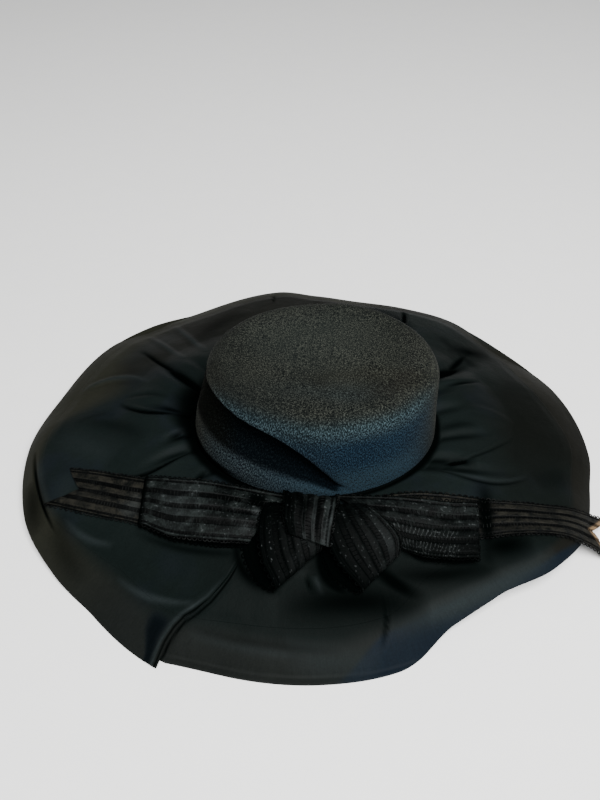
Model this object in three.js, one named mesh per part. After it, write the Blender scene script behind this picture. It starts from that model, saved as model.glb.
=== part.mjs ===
import * as THREE from 'three';

// A wide-brimmed cloth hat with a soft crown and a striped ribbon bow, lying on the floor.
// Millimetres, +Z up, origin on the floor under the middle of the hat.
// Angles are degrees round BRIM_MIDDLE, anticlockwise from above, and 270 faces the bow.

// Driving dimensions
const BRIM_MIDDLE = { x: 8.6, y: -11.5 };
const CROWN_BASE = { high: 46, x: 3.5, y: -7.5, a: 101, b: 80 };
const CROWN_TOP = { high: 118, x: 9, y: -5, a: 92.5, b: 76 };
const CROWN_WALL = 2;
const SHARPEST_TURN = 0.6;
const SHOULDER_RADIUS = 14;
const TIP_SAG = 3;
const TIP_HOLLOW = { x: 40, y: -34, a: 42, b: 20, deep: 3.5, rim: 6 };
const CLOTH = 1.6;
const RIBBON = 1.2;
const GAP = 0.3;
const HEM_TUCK = 4;
const COLLAR_INSET = 2.5;
const PUFF = 4;
const ROLL_REACH = 24;
const PUFF_SHARE = 0.5;
const FOLD = {
  at: 237.6, high: 5, from: 135, to: 205, left: 35, right: 20, edge: 1.2, dip: 0.3, turns: 24,
};
const REST_TOP = 2 * CLOTH + GAP;

// Brim edge: at = angle, reach = distance from the middle, lift = height of the cloth's top
// (where it would lie lower than REST_TOP, the hat's weight flattens the hem on the floor),
// roll = drop in the last stretch, bow = how long the cloth stays high, hem = band width
const EDGE = [
  { at: 0, reach: 235, lift: 10, roll: 3, bow: 1.5, hem: 30 },
  { at: 20, reach: 239, lift: 6, roll: 2, bow: 1.4, hem: 32 },
  { at: 40, reach: 234, lift: -0.3, roll: 1, bow: 1.4, hem: 33 },
  { at: 52, reach: 235, lift: 5, roll: 2, bow: 1.4, hem: 33 },
  { at: 66, reach: 227.5, lift: 7.5, roll: 2, bow: 1.4, hem: 33 },
  { at: 80, reach: 218, lift: 12, roll: 2, bow: 1.5, hem: 33 },
  { at: 90, reach: 222, lift: 13, roll: 2, bow: 1.5, hem: 33 },
  { at: 100, reach: 233.5, lift: 12, roll: 2, bow: 1.5, hem: 33 },
  { at: 120, reach: 237.5, lift: 5, roll: 2, bow: 1.4, hem: 33 },
  { at: 134, reach: 251, lift: -0.4, roll: 1, bow: 1.4, hem: 33 },
  { at: 144, reach: 256, lift: 4.6, roll: 2, bow: 1.4, hem: 33 },
  { at: 164, reach: 250, lift: 10.5, roll: 3, bow: 1.5, hem: 31 },
  { at: 180, reach: 253.5, lift: 14.7, roll: 7, bow: 1.7, hem: 19 },
  { at: 195, reach: 251, lift: 13, roll: 8, bow: 1.9, hem: 18 },
  { at: 210, reach: 239, lift: 6.5, roll: 5, bow: 2, hem: 29 },
  { at: 222, reach: 229.5, lift: 1, roll: 4, bow: 2, hem: 33 },
  { at: 234, reach: 228.5, lift: -0.5, roll: 4, bow: 2, hem: 34 },
  { at: 237, reach: 228, lift: 0, roll: 4, bow: 2, hem: 34 },
  { at: 238.5, reach: 222, lift: -0.5, roll: 4, bow: 2, hem: 34 },
  { at: 250, reach: 212, lift: -1.4, roll: 4, bow: 2, hem: 34 },
  { at: 270, reach: 206, lift: -1.8, roll: 4, bow: 2, hem: 34 },
  { at: 285, reach: 203.5, lift: 0, roll: 5, bow: 1.9, hem: 34 },
  { at: 300, reach: 190, lift: 12, roll: 8, bow: 1.8, hem: 33 },
  { at: 312, reach: 194.5, lift: 20, roll: 9, bow: 1.7, hem: 32 },
  { at: 325, reach: 214.5, lift: 23, roll: 8, bow: 1.6, hem: 30 },
  { at: 338, reach: 227, lift: 16, roll: 6, bow: 1.6, hem: 30 },
  { at: 350, reach: 229, lift: 11, roll: 4, bow: 1.5, hem: 30 },
];

// Creases that the gathering leaves round the crown: at = angle where one starts,
// reach = length, deep, half = half width, drift = how far it turns on its way out.
// CREASE gives how they start, where they begin to fade and how high their banks stand.
const CREASE = { start: 6, fade: 0.35, bank: 0.6 };
const GATHERS = [
  { at: 10, reach: 40, deep: 2.5, half: 5, drift: 2 },
  { at: 21.5, reach: 50, deep: 3.5, half: 6, drift: 3 },
  { at: 30, reach: 110, deep: 4.5, half: 9, drift: 7 },
  { at: 44, reach: 40, deep: 3, half: 6, drift: 2 },
  { at: 60, reach: 42, deep: 3.5, half: 6, drift: 0 },
  { at: 76, reach: 38, deep: 3, half: 6, drift: -2 },
  { at: 92, reach: 44, deep: 3.5, half: 6, drift: 2 },
  { at: 108, reach: 38, deep: 3, half: 6, drift: -2 },
  { at: 124, reach: 46, deep: 3.5, half: 6, drift: 0 },
  { at: 136, reach: 36, deep: 3, half: 6, drift: 0 },
  { at: 146, reach: 60, deep: 2.5, half: 6, drift: -4 },
  { at: 158, reach: 98, deep: 4.5, half: 7, drift: -14 },
  { at: 172, reach: 66, deep: 3.5, half: 6, drift: -4 },
  { at: 183, reach: 34, deep: 3.5, half: 5, drift: 7 },
  { at: 194, reach: 100, deep: 4, half: 6, drift: -1 },
  { at: 208, reach: 24, deep: 3, half: 4, drift: 4 },
  { at: 331, reach: 80, deep: 3.5, half: 5, drift: 16 },
  { at: 337, reach: 40, deep: 4, half: 6, drift: 6 },
  { at: 352, reach: 60, deep: 3, half: 5, drift: 8 },
];

// The sharp fold in the brim turns as it runs out: reach from the middle, at = its angle
const FOLD_LINE = [
  { reach: 120, at: 247.5 },
  { reach: 130, at: 246.8 },
  { reach: 171, at: 241.6 },
  { reach: 188, at: 239.2 },
  { reach: 210, at: 237.6 },
  { reach: 260, at: 237.6 },
];

// The pushed-in side of the crown: at = angle on its oval, ridge = height of the overhang,
// deep = how far the wall is pushed in under it
const DENT = [
  { at: 0, ridge: 80, deep: 0 },
  { at: 90, ridge: 100, deep: 0 },
  { at: 176, ridge: 108, deep: 0 },
  { at: 190, ridge: 109, deep: 7 },
  { at: 205, ridge: 110, deep: 14 },
  { at: 228, ridge: 107.5, deep: 19 },
  { at: 240, ridge: 104, deep: 20 },
  { at: 250, ridge: 99.5, deep: 19 },
  { at: 258, ridge: 93, deep: 17 },
  { at: 266, ridge: 83, deep: 13 },
  { at: 273, ridge: 70, deep: 8 },
  { at: 279, ridge: 58, deep: 3 },
  { at: 286, ridge: 52, deep: 0 },
];
const DENT_LIP = { high: 2.5, full: 10 };
// share = part of the way from the base up to the ridge, inset = part of the depth there
const DENT_SECTION = [
  { share: 0, inset: 0 },
  { share: 0.24, inset: -0.06 },
  { share: 0.46, inset: 0.04 },
  { share: 0.66, inset: 0.7 },
  { share: 0.86, inset: 1 },
  { share: 0.97, inset: 0.94 },
];

// Ribbon strips. Each row is one place along the ribbon, with its far and its near selvedge
// from above and its height over the brim. All strips start at the knot.
const TAIL_LEFT = [
  { far: [-105, -75], near: [-104, -119], high: 1.4 },
  { far: [-130, -70], near: [-132, -106], high: 1.4 },
  { far: [-165, -58], near: [-170, -94], high: 1.1 },
  { far: [-197, -49], near: [-213, -79], high: 0.9 },
];
const LOOP_LEFT = [
  { far: [-34, -88], near: [-51, -131], high: 1.2 },
  { far: [-70, -81], near: [-73, -129], high: 1.4 },
  { far: [-103, -77], near: [-104, -122], high: 3.4 },
  { far: [-124, -73], near: [-126, -111], high: 3.6 },
  { far: [-130, -72], near: [-132, -109], high: 5.4 },
  { far: [-124, -73], near: [-126, -111], high: 7 },
  { far: [-103, -77], near: [-104, -122], high: 8 },
  { far: [-70, -81], near: [-73, -129], high: 8 },
  { far: [-34, -88], near: [-51, -131], high: 6 },
];
const TAIL_RIGHT = [
  { far: [32, -92], near: [72, -130], high: 1.2 },
  { far: [74, -86], near: [92, -132], high: 1.6 },
  { far: [124, -90], near: [124, -132], high: 1.6 },
  { far: [170, -86], near: [168, -124], high: 1 },
  { far: [205, -84], near: [203, -116], high: 1.5 },
  { far: [226, -83], near: [222, -115], high: 2.2 },
  { far: [239, -82], near: [236, -116], high: 1 },
];
const LOOP_RIGHT = [
  { far: [37, -95], near: [70, -133], high: 4.2 },
  { far: [74, -100], near: [82, -139], high: 4.6 },
  { far: [104, -98], near: [104, -141], high: 4.6 },
  { far: [122, -96], near: [118, -140], high: 4.4 },
  { far: [127, -96], near: [123, -140], high: 6.2 },
  { far: [122, -96], near: [118, -140], high: 8 },
  { far: [104, -98], near: [104, -141], high: 9 },
  { far: [74, -100], near: [82, -139], high: 9 },
  { far: [37, -95], near: [70, -133], high: 7 },
];
const LOOP_FRONT_LEFT = [
  { far: [-3, -100], near: [-32, -98], high: 6 },
  { far: [-1, -112], near: [-36, -109], high: 10.5 },
  { far: [2, -124], near: [-39, -127], high: 12 },
  { far: [4, -134], near: [-38, -147], high: 11 },
  { far: [3, -141], near: [-33, -164], high: 6.5 },
  { far: [1, -139], near: [-38, -163], high: 2.2 },
  { far: [-5, -128], near: [-47, -146], high: 1.3 },
  { far: [-9, -113], near: [-49, -128], high: 1 },
  { far: [-9, -102], near: [-40, -108], high: 1 },
];
const LOOP_FRONT_RIGHT = [
  { far: [36, -99], near: [9, -101], high: 6 },
  { far: [43, -106], near: [9, -112], high: 10.5 },
  { far: [56, -119], near: [10, -129], high: 12 },
  { far: [64, -129], near: [17, -148], high: 11 },
  { far: [62, -138], near: [30, -165], high: 6.5 },
  { far: [58, -137], near: [23, -164], high: 2.2 },
  { far: [48, -127], near: [11, -147], high: 1 },
  { far: [38, -114], near: [6, -129], high: 1 },
  { far: [32, -104], near: [8, -110], high: 1 },
];
// The knot is a pleated stretch of ribbon drawn over the middle from the crown to the front
const KNOT = [
  { far: [15, -90], near: [-31, -86.6], high: 0.8 },
  { far: [15, -92.5], near: [-31, -88.6], high: 10 },
  { far: [14, -100], near: [-29, -97], high: 17 },
  { far: [12, -114], near: [-26, -112], high: 19 },
  { far: [9, -126], near: [-19, -125], high: 17 },
  { far: [7, -135], near: [-13, -134], high: 14.5 },
];
const KNOT_PLEATS = { count: 4, deep: 1.6, steps: 3 };
// How far the ribbon's ends are cut in, in rows of their tables
const NOTCH_LEFT = 0.6;
const NOTCH_RIGHT = 0.9;

// Mesh steps
const BRIM_COLUMNS = 112;
const FOLD_COLUMNS = [236.9, 238.3];
const CLOTH_RINGS = [0, 0.06, 0.15, 0.26, 0.4, 0.58, 0.8];
const HEM_RINGS = [0.45, 0.86, 1];
const CROWN_COLUMNS = 52;
const UPPER_RINGS = [0.2, 0.45, 0.7, 0.81, 0.91, 1];
const TIP_RINGS = [0.72, 0.38];
const STRIP_STEPS = 2;
const STRIP_WIDTHS = 3;

// Materials
const CLOTH_DARK = { color: 0x23282a, roughness: 0.62, metalness: 0 };
const HEM_DARK = { color: 0x2c2b27, roughness: 0.6, metalness: 0 };
const CROWN_GREY = { color: 0x2f363a, roughness: 0.88, metalness: 0 };
const RIBBON_DARK = { color: 0x26251f, roughness: 0.5, metalness: 0 };

function clamp(value, low = 0, high = 1) {
  return Math.min(high, Math.max(low, value));
}

function mix(a, b, share) {
  return a + (b - a) * share;
}

// Smooth step from 0 at low to 1 at high
function ease(value, low, high) {
  const t = clamp((value - low) / (high - low));
  return t * t * (3 - 2 * t);
}

// Angle brought into -180 to 180
function turn(angle) {
  return ((angle % 360) + 540) % 360 - 180;
}

// Value of one column at an angle, on a smooth closed curve through the rows
// that never swings past them
function around(rows, key, angle) {
  const count = rows.length;
  const at = ((angle % 360) + 360) % 360;
  let i = count - 1;
  while (i > 0 && rows[i].at > at) {
    i -= 1;
  }
  const span = (k) => (((rows[(k + 1) % count].at - rows[k % count].at) % 360) + 360) % 360;
  const slope = (k) => (rows[(k + 1) % count][key] - rows[k % count][key]) / span(k);
  const tangent = (k) => {
    const before = slope((k + count - 1) % count);
    const after = slope(k % count);
    return before * after > 0 ? (2 * before * after) / (before + after) : 0;
  };
  const width = span(i);
  const s = ((((at - rows[i].at) % 360) + 360) % 360) / width;
  const start = rows[i][key];
  const end = rows[(i + 1) % count][key];
  const rise = end - start;
  const bend = width * (tangent(i) * s * (1 - s) * (1 - s) - tangent(i + 1) * s * s * (1 - s));
  return start + rise * s * s * (3 - 2 * s) + bend;
}

// Value of one column against another on straight lines between the rows
function between(rows, from, key, value) {
  let i = 0;
  while (i < rows.length - 2 && rows[i + 1][from] < value) {
    i += 1;
  }
  const share = clamp((value - rows[i][from]) / (rows[i + 1][from] - rows[i][from]));
  return mix(rows[i][key], rows[i + 1][key], share);
}

// Distance from the brim's middle to the crown's base oval, grown outward by some amount
function crownRoot(angle, grow) {
  const a = CROWN_BASE.a + grow;
  const b = CROWN_BASE.b + grow;
  const rad = THREE.MathUtils.degToRad(angle);
  const dx = (BRIM_MIDDLE.x - CROWN_BASE.x) / a;
  const dy = (BRIM_MIDDLE.y - CROWN_BASE.y) / b;
  const cx = Math.cos(rad) / a;
  const cy = Math.sin(rad) / b;
  const along = cx * cx + cy * cy;
  const half = dx * cx + dy * cy;
  const rest = dx * dx + dy * dy - 1;
  return (-half + Math.sqrt(half * half - along * rest)) / along;
}

// Depth of the gathering's creases at a place on the brim
function gatherDrop(angle, reach, root) {
  let drop = 0;
  for (const g of GATHERS) {
    const along = (reach - root) / g.reach;
    if (along > 0 && along < 1) {
      const off = THREE.MathUtils.degToRad(turn(angle - g.at - g.drift * along)) * reach / g.half;
      const fade = ease(reach - root, 0, CREASE.start) * (1 - ease(along, CREASE.fade, 1));
      drop += g.deep * fade * (1 - CREASE.bank * off * off) * Math.exp(-off * off / 2);
    }
  }
  return drop;
}

// Height that the sharp fold adds: its left side rides up on its right side
function foldRise(angle, reach) {
  const off = THREE.MathUtils.degToRad(turn(between(FOLD_LINE, 'reach', 'at', reach) - angle)) * reach;
  const side = ease(off, -FOLD.edge, FOLD.edge);
  const left = side * Math.exp(-Math.max(off, 0) / FOLD.left);
  const right = FOLD.dip * (1 - side) * Math.exp(Math.min(off, 0) / FOLD.right);
  return FOLD.high * ease(reach, FOLD.from, FOLD.to) * (left - right);
}

// Height of the brim cloth's top at an angle and a distance from the middle
function brimTop(angle, reach) {
  const edge = around(EDGE, 'reach', angle);
  const roll = around(EDGE, 'roll', angle);
  const lift = around(EDGE, 'lift', angle);
  const root = crownRoot(angle, 1);
  const out = clamp((reach - root) / (edge - root));
  const base = CROWN_BASE.high - GAP;
  let high = mix(base, lift + roll, Math.pow(out, around(EDGE, 'bow', angle)));
  const inner = clamp(out / PUFF_SHARE);
  high += 4 * PUFF * inner * (1 - inner);
  high -= roll * Math.pow(clamp((reach - edge + ROLL_REACH) / ROLL_REACH), 2);
  high -= gatherDrop(angle, reach, root);
  high += foldRise(angle, reach);
  return Math.max(high, REST_TOP);
}

function brimPoint(angle, reach, high) {
  const rad = THREE.MathUtils.degToRad(angle);
  return [
    BRIM_MIDDLE.x + reach * Math.cos(rad),
    BRIM_MIDDLE.y + reach * Math.sin(rad),
    high,
  ];
}

// Height of the brim's top under a point seen from above
function brimHeightAt(x, y) {
  const dx = x - BRIM_MIDDLE.x;
  const dy = y - BRIM_MIDDLE.y;
  const angle = THREE.MathUtils.radToDeg(Math.atan2(dy, dx));
  return brimTop(angle, Math.hypot(dx, dy));
}

// Columns round the brim, with a close pair on either side of the sharp fold
function brimColumns() {
  const columns = [];
  const step = 360 / BRIM_COLUMNS;
  for (let i = 0; i < BRIM_COLUMNS; i += 1) {
    const at = step * i;
    if (Math.abs(at - FOLD.at) < step / 2) {
      columns.push(...FOLD_COLUMNS);
    } else {
      columns.push(at);
    }
  }
  return columns;
}

// The columns near the fold bend with it
function bentAngle(column, reach) {
  const pull = clamp(1 - Math.abs(turn(column - FOLD.at)) / FOLD.turns);
  return column + pull * (between(FOLD_LINE, 'reach', 'at', reach) - FOLD.at);
}

// One closed body from two matching sheets of points: rows close on themselves when ring is set
function closedSheet(top, bottom, ring) {
  const rows = top.length;
  const across = top[0].length;
  const points = [];
  const faces = [];
  const index = (side, i, j) => side * rows * across + (i % rows) * across + j;
  for (const sheet of [top, bottom]) {
    for (const row of sheet) {
      for (const p of row) {
        points.push(...p);
      }
    }
  }
  const quad = (a, b, c, d) => {
    faces.push(a, b, c, a, c, d);
  };
  const last = ring ? rows : rows - 1;
  for (let i = 0; i < last; i += 1) {
    for (let j = 0; j < across - 1; j += 1) {
      quad(index(0, i, j), index(0, i, j + 1), index(0, i + 1, j + 1), index(0, i + 1, j));
      quad(index(1, i, j), index(1, i + 1, j), index(1, i + 1, j + 1), index(1, i, j + 1));
    }
    quad(index(0, i, 0), index(0, i + 1, 0), index(1, i + 1, 0), index(1, i, 0));
    quad(index(0, i + 1, across - 1), index(0, i, across - 1), index(1, i, across - 1), index(1, i + 1, across - 1));
  }
  if (!ring) {
    for (let j = 0; j < across - 1; j += 1) {
      quad(index(0, 0, j + 1), index(0, 0, j), index(1, 0, j), index(1, 0, j + 1));
      quad(index(0, last, j), index(0, last, j + 1), index(1, last, j + 1), index(1, last, j));
    }
  }
  return solidFrom(points, faces);
}

// Geometry with its faces turned outward
function solidFrom(points, faces) {
  let volume = 0;
  const corner = (k) => new THREE.Vector3().fromArray(points, 3 * k);
  for (let f = 0; f < faces.length; f += 3) {
    const a = corner(faces[f]);
    const b = corner(faces[f + 1]);
    const c = corner(faces[f + 2]);
    volume += a.dot(b.cross(c));
  }
  const turned = [];
  for (let f = 0; f < faces.length; f += 3) {
    const swap = volume < 0;
    turned.push(faces[f], faces[f + (swap ? 2 : 1)], faces[f + (swap ? 1 : 2)]);
  }
  const geometry = new THREE.BufferGeometry();
  geometry.setAttribute('position', new THREE.Float32BufferAttribute(points, 3));
  geometry.setIndex(turned);
  geometry.computeVertexNormals();
  return geometry;
}

function named(name, geometry, look) {
  const mesh = new THREE.Mesh(geometry, new THREE.MeshStandardMaterial(look));
  mesh.name = name;
  return mesh;
}

// The brim's cloth, from a narrow collar under the crown's wall to the hem band
function makeBrim() {
  const top = [];
  const bottom = [];
  for (const column of brimColumns()) {
    const root = crownRoot(column, 1);
    const edge = around(EDGE, 'reach', column);
    const end = edge - around(EDGE, 'hem', column);
    const reaches = CLOTH_RINGS.map((share) => mix(root, end - HEM_TUCK, share));
    reaches.push(end - HEM_TUCK, end);
    const collar = crownRoot(column, -COLLAR_INSET);
    const base = CROWN_BASE.high - GAP;
    const upper = [brimPoint(column, collar, base)];
    const lower = [brimPoint(column, collar, base - CLOTH)];
    for (const reach of reaches) {
      const angle = bentAngle(column, reach);
      const high = reach === root ? base : brimTop(angle, reach);
      upper.push(brimPoint(reach === root ? column : angle, reach, high));
      lower.push(brimPoint(reach === root ? column : angle, reach, high - CLOTH));
    }
    top.push(upper);
    bottom.push(lower);
  }
  return named('brim', closedSheet(top, bottom, true), CLOTH_DARK);
}

// The hem band round the edge, its inner margin tucked under the brim's cloth
function makeHem() {
  const top = [];
  const bottom = [];
  for (const column of brimColumns()) {
    const edge = around(EDGE, 'reach', column);
    const hem = around(EDGE, 'hem', column);
    const reaches = [edge - hem - HEM_TUCK, edge - hem];
    for (const share of HEM_RINGS) {
      reaches.push(edge - hem * (1 - share));
    }
    const upper = [];
    const lower = [];
    for (const reach of reaches) {
      const angle = bentAngle(column, reach);
      const high = brimTop(angle, reach) - CLOTH - GAP;
      upper.push(brimPoint(angle, reach, high));
      lower.push(brimPoint(angle, reach, high - CLOTH));
    }
    top.push(upper);
    bottom.push(lower);
  }
  return named('brim_hem', closedSheet(top, bottom, true), HEM_DARK);
}

// Outline of the crown before the dent at a height: centre and half axes
function crownOval(high) {
  const wallTop = CROWN_TOP.high - SHOULDER_RADIUS;
  const share = clamp((high - CROWN_BASE.high) / (wallTop - CROWN_BASE.high));
  const up = clamp((high - wallTop) / SHOULDER_RADIUS);
  const inset = SHOULDER_RADIUS * (1 - Math.sqrt(1 - up * up));
  return {
    x: mix(CROWN_BASE.x, CROWN_TOP.x, share),
    y: mix(CROWN_BASE.y, CROWN_TOP.y, share),
    a: mix(CROWN_BASE.a, CROWN_TOP.a, share) - inset,
    b: mix(CROWN_BASE.b, CROWN_TOP.b, share) - inset,
  };
}

function crownPoint(column, high, inset) {
  const oval = crownOval(high);
  const rad = THREE.MathUtils.degToRad(column);
  return [
    oval.x + (oval.a - inset) * Math.cos(rad),
    oval.y + (oval.b - inset) * Math.sin(rad),
    high,
  ];
}

// The flat tip, a little slack, with a shallow hollow on its right
function crownTip(column, share) {
  const oval = crownOval(CROWN_TOP.high);
  const rad = THREE.MathUtils.degToRad(column);
  const x = oval.x + oval.a * share * Math.cos(rad);
  const y = oval.y + oval.b * share * Math.sin(rad);
  const dx = (x - TIP_HOLLOW.x) / TIP_HOLLOW.a;
  const dy = (y - TIP_HOLLOW.y) / TIP_HOLLOW.b;
  const hollow = TIP_HOLLOW.deep * Math.exp(-dx * dx - dy * dy);
  const sag = TIP_SAG * Math.pow(1 - share * share, 2);
  return [x, y, CROWN_TOP.high - sag - hollow * (1 - Math.pow(share, TIP_HOLLOW.rim))];
}

// Way up the crown's section to a height, along its wall and round its shoulder, and back
function pathAt(high) {
  const wallTop = CROWN_TOP.high - SHOULDER_RADIUS;
  const up = clamp((high - wallTop) / SHOULDER_RADIUS);
  return Math.min(high, wallTop) + SHOULDER_RADIUS * Math.asin(up);
}

function highAt(path) {
  const wallTop = CROWN_TOP.high - SHOULDER_RADIUS;
  const round = clamp((path - wallTop) / SHOULDER_RADIUS, 0, Math.PI / 2);
  return Math.min(path, wallTop) + SHOULDER_RADIUS * Math.sin(round);
}

// One upright section of the crown's outside, from its base to the middle of its tip
function crownSection(column) {
  const ridge = around(DENT, 'ridge', column);
  const deep = around(DENT, 'deep', column);
  const section = [];
  for (const row of DENT_SECTION) {
    section.push(crownPoint(column, mix(CROWN_BASE.high, ridge, row.share), deep * row.inset));
  }
  section.push(crownPoint(column, ridge, -DENT_LIP.high * clamp(deep / DENT_LIP.full)));
  const start = pathAt(ridge);
  for (const share of UPPER_RINGS) {
    section.push(crownPoint(column, highAt(mix(start, pathAt(CROWN_TOP.high), share)), 0));
  }
  for (const share of TIP_RINGS) {
    section.push(crownTip(column, share));
  }
  return section;
}

// The crown: one wall of even thickness, open below where the head goes in
function makeCrown() {
  const outer = [];
  const inner = [];
  for (let i = 0; i < CROWN_COLUMNS; i += 1) {
    const column = (360 / CROWN_COLUMNS) * i;
    const section = crownSection(column);
    outer.push(section);
    inner.push(insideOf(section, column));
  }
  const points = [];
  const faces = [];
  const across = outer[0].length;
  const index = (side, i, j) => (side * CROWN_COLUMNS + (i % CROWN_COLUMNS)) * across + j;
  for (const sheet of [outer, inner]) {
    for (const row of sheet) {
      for (const p of row) {
        points.push(...p);
      }
    }
  }
  const middle = 2 * CROWN_COLUMNS * across;
  const tip = crownTip(0, 0);
  points.push(...tip, tip[0], tip[1], tip[2] - CROWN_WALL);
  for (let i = 0; i < CROWN_COLUMNS; i += 1) {
    for (let j = 0; j < across - 1; j += 1) {
      faces.push(index(0, i, j), index(0, i + 1, j), index(0, i + 1, j + 1));
      faces.push(index(0, i, j), index(0, i + 1, j + 1), index(0, i, j + 1));
      faces.push(index(1, i, j), index(1, i + 1, j + 1), index(1, i + 1, j));
      faces.push(index(1, i, j), index(1, i, j + 1), index(1, i + 1, j + 1));
    }
    faces.push(index(0, i, across - 1), index(0, i + 1, across - 1), middle);
    faces.push(index(1, i + 1, across - 1), index(1, i, across - 1), middle + 1);
    faces.push(index(0, i + 1, 0), index(0, i, 0), index(1, i, 0));
    faces.push(index(0, i + 1, 0), index(1, i, 0), index(1, i + 1, 0));
  }
  return named('crown', solidFrom(points, faces), CROWN_GREY);
}

// The same section moved inward by the wall's thickness, square to the section's line
function insideOf(section, column) {
  const rad = THREE.MathUtils.degToRad(column);
  const out = new THREE.Vector2(Math.cos(rad), Math.sin(rad));
  const flat = section.map((p) => new THREE.Vector2(p[0] * out.x + p[1] * out.y, p[2]));
  return section.map((p, j) => {
    if (j === 0) {
      return [p[0] - CROWN_WALL * out.x, p[1] - CROWN_WALL * out.y, p[2]];
    }
    const before = flat[j].clone().sub(flat[j - 1]).normalize();
    const after = j < flat.length - 1 ? flat[j + 1].clone().sub(flat[j]).normalize() : before;
    const along = before.clone().add(after).normalize();
    const reach = CROWN_WALL / Math.max(SHARPEST_TURN, along.dot(before));
    const inward = -along.y * reach;
    return [p[0] + inward * out.x, p[1] + inward * out.y, p[2] + along.x * reach];
  });
}

// A smooth curve through one column of a strip's rows
function alongRows(rows, place, read) {
  const last = rows.length - 1;
  const i = Math.min(Math.floor(place), last - 1);
  const t = place - i;
  const p0 = read(rows[Math.max(i - 1, 0)]);
  const p1 = read(rows[i]);
  const p2 = read(rows[i + 1]);
  const p3 = read(rows[Math.min(i + 2, last)]);
  const first = (p2 - p0) / 2;
  const second = (p3 - p1) / 2;
  const cubic = (2 * t * t * t - 3 * t * t + 1) * p1 + (t * t * t - 2 * t * t + t) * first;
  return cubic + (3 * t * t - 2 * t * t * t) * p2 + (t * t * t - t * t) * second;
}

// Middle surface of a ribbon strip over the brim. notch cuts its last end to a swallowtail,
// and pleats puts folds along it.
function stripMiddle(rows, notch, pleats) {
  const steps = (rows.length - 1) * STRIP_STEPS;
  const widths = pleats ? pleats.count * pleats.steps : STRIP_WIDTHS;
  const length = rows.length - 1;
  const grid = [];
  for (let i = 0; i <= steps; i += 1) {
    const line = [];
    for (let j = 0; j <= widths; j += 1) {
      const t = j / widths;
      const cut = notch * (1 - Math.abs(2 * t - 1)) * Math.pow(i / steps, 2);
      const place = (i / STRIP_STEPS) * (1 - cut / length);
      const read = (pick) => alongRows(rows, place, pick);
      const x = mix(read((r) => r.far[0]), read((r) => r.near[0]), t);
      const y = mix(read((r) => r.far[1]), read((r) => r.near[1]), t);
      const fold = pleats ? pleats.deep * Math.cos(2 * Math.PI * pleats.count * t) : 0;
      const arch = Math.sin(Math.PI * i / steps);
      const high = brimHeightAt(x, y) + read((r) => r.high) + fold * arch + RIBBON / 2;
      line.push(new THREE.Vector3(x, y, high));
    }
    grid.push(line);
  }
  return grid;
}

// A ribbon strip as one closed body
function makeStrip(name, rows, notch = 0, pleats = null) {
  const middle = stripMiddle(rows, notch, pleats);
  const top = [];
  const bottom = [];
  middle.forEach((line, i) => {
    const upper = [];
    const lower = [];
    line.forEach((p, j) => {
      const ahead = middle[Math.min(i + 1, middle.length - 1)][j];
      const behind = middle[Math.max(i - 1, 0)][j];
      const left = line[Math.max(j - 1, 0)];
      const right = line[Math.min(j + 1, line.length - 1)];
      const normal = ahead.clone().sub(behind).cross(right.clone().sub(left)).normalize();
      const half = normal.multiplyScalar(RIBBON / 2);
      upper.push(p.clone().add(half).toArray());
      lower.push(p.clone().sub(half).toArray());
    });
    top.push(upper);
    bottom.push(lower);
  });
  return named(name, closedSheet(top, bottom, false), RIBBON_DARK);
}

const hat = new THREE.Group();
hat.add(makeCrown());
hat.add(makeBrim());
hat.add(makeHem());
hat.add(makeStrip('tail_left', TAIL_LEFT, NOTCH_LEFT));
hat.add(makeStrip('loop_left', LOOP_LEFT));
hat.add(makeStrip('tail_right', TAIL_RIGHT, NOTCH_RIGHT));
hat.add(makeStrip('loop_right', LOOP_RIGHT));
hat.add(makeStrip('loop_front_left', LOOP_FRONT_LEFT));
hat.add(makeStrip('loop_front_right', LOOP_FRONT_RIGHT));
hat.add(makeStrip('bow_knot', KNOT, 0, KNOT_PLEATS));

export default hat;
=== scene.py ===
# %% [markdown]
# # A wide-brimmed cloth hat with a ribbon bow
# The solids of this hat are already made: they give every piece its place and its size.
# This lesson dresses them as real cloth. It starts with the fixed frame, whose box the
# dressed hat has to keep to.

# %% Load the fixed frame
import bpy
import numpy as np
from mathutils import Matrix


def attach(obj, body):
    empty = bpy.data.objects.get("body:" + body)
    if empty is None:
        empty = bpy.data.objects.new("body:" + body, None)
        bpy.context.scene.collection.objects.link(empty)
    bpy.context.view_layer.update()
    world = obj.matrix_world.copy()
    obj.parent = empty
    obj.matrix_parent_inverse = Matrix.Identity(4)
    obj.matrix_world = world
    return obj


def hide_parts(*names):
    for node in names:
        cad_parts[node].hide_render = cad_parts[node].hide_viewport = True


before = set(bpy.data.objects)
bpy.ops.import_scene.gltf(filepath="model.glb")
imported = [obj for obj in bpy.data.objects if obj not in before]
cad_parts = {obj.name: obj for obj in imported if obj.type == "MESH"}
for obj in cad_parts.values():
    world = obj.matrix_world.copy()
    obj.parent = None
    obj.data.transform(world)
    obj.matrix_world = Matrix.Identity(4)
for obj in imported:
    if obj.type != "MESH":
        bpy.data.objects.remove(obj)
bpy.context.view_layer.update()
MM = 0.001
TINY = 1e-9
print("nodes:", sorted(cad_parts))

# %% [markdown]
# ## The measures of the hat
# A hat is measured as a milliner would do it: from a middle point, in degrees round it and
# in millimetres outward. Short tables hold those measures, and smooth curves run through
# them, so a whole surface can be worked out at once as numpy arrays. The solids came from
# nearly the same measures. Some rows are set closer to the real hat here: the line of the
# fold, one gather, and parts of the bow and of its long end. The cloth also laps further
# over the hem band, which shows as a narrow strip at the back and on the right.

# %% Tables with named columns
def table(columns, rows):
    """A short table as one array for each named column."""
    return dict(zip(columns.split(), np.array(rows, float).T))


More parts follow.
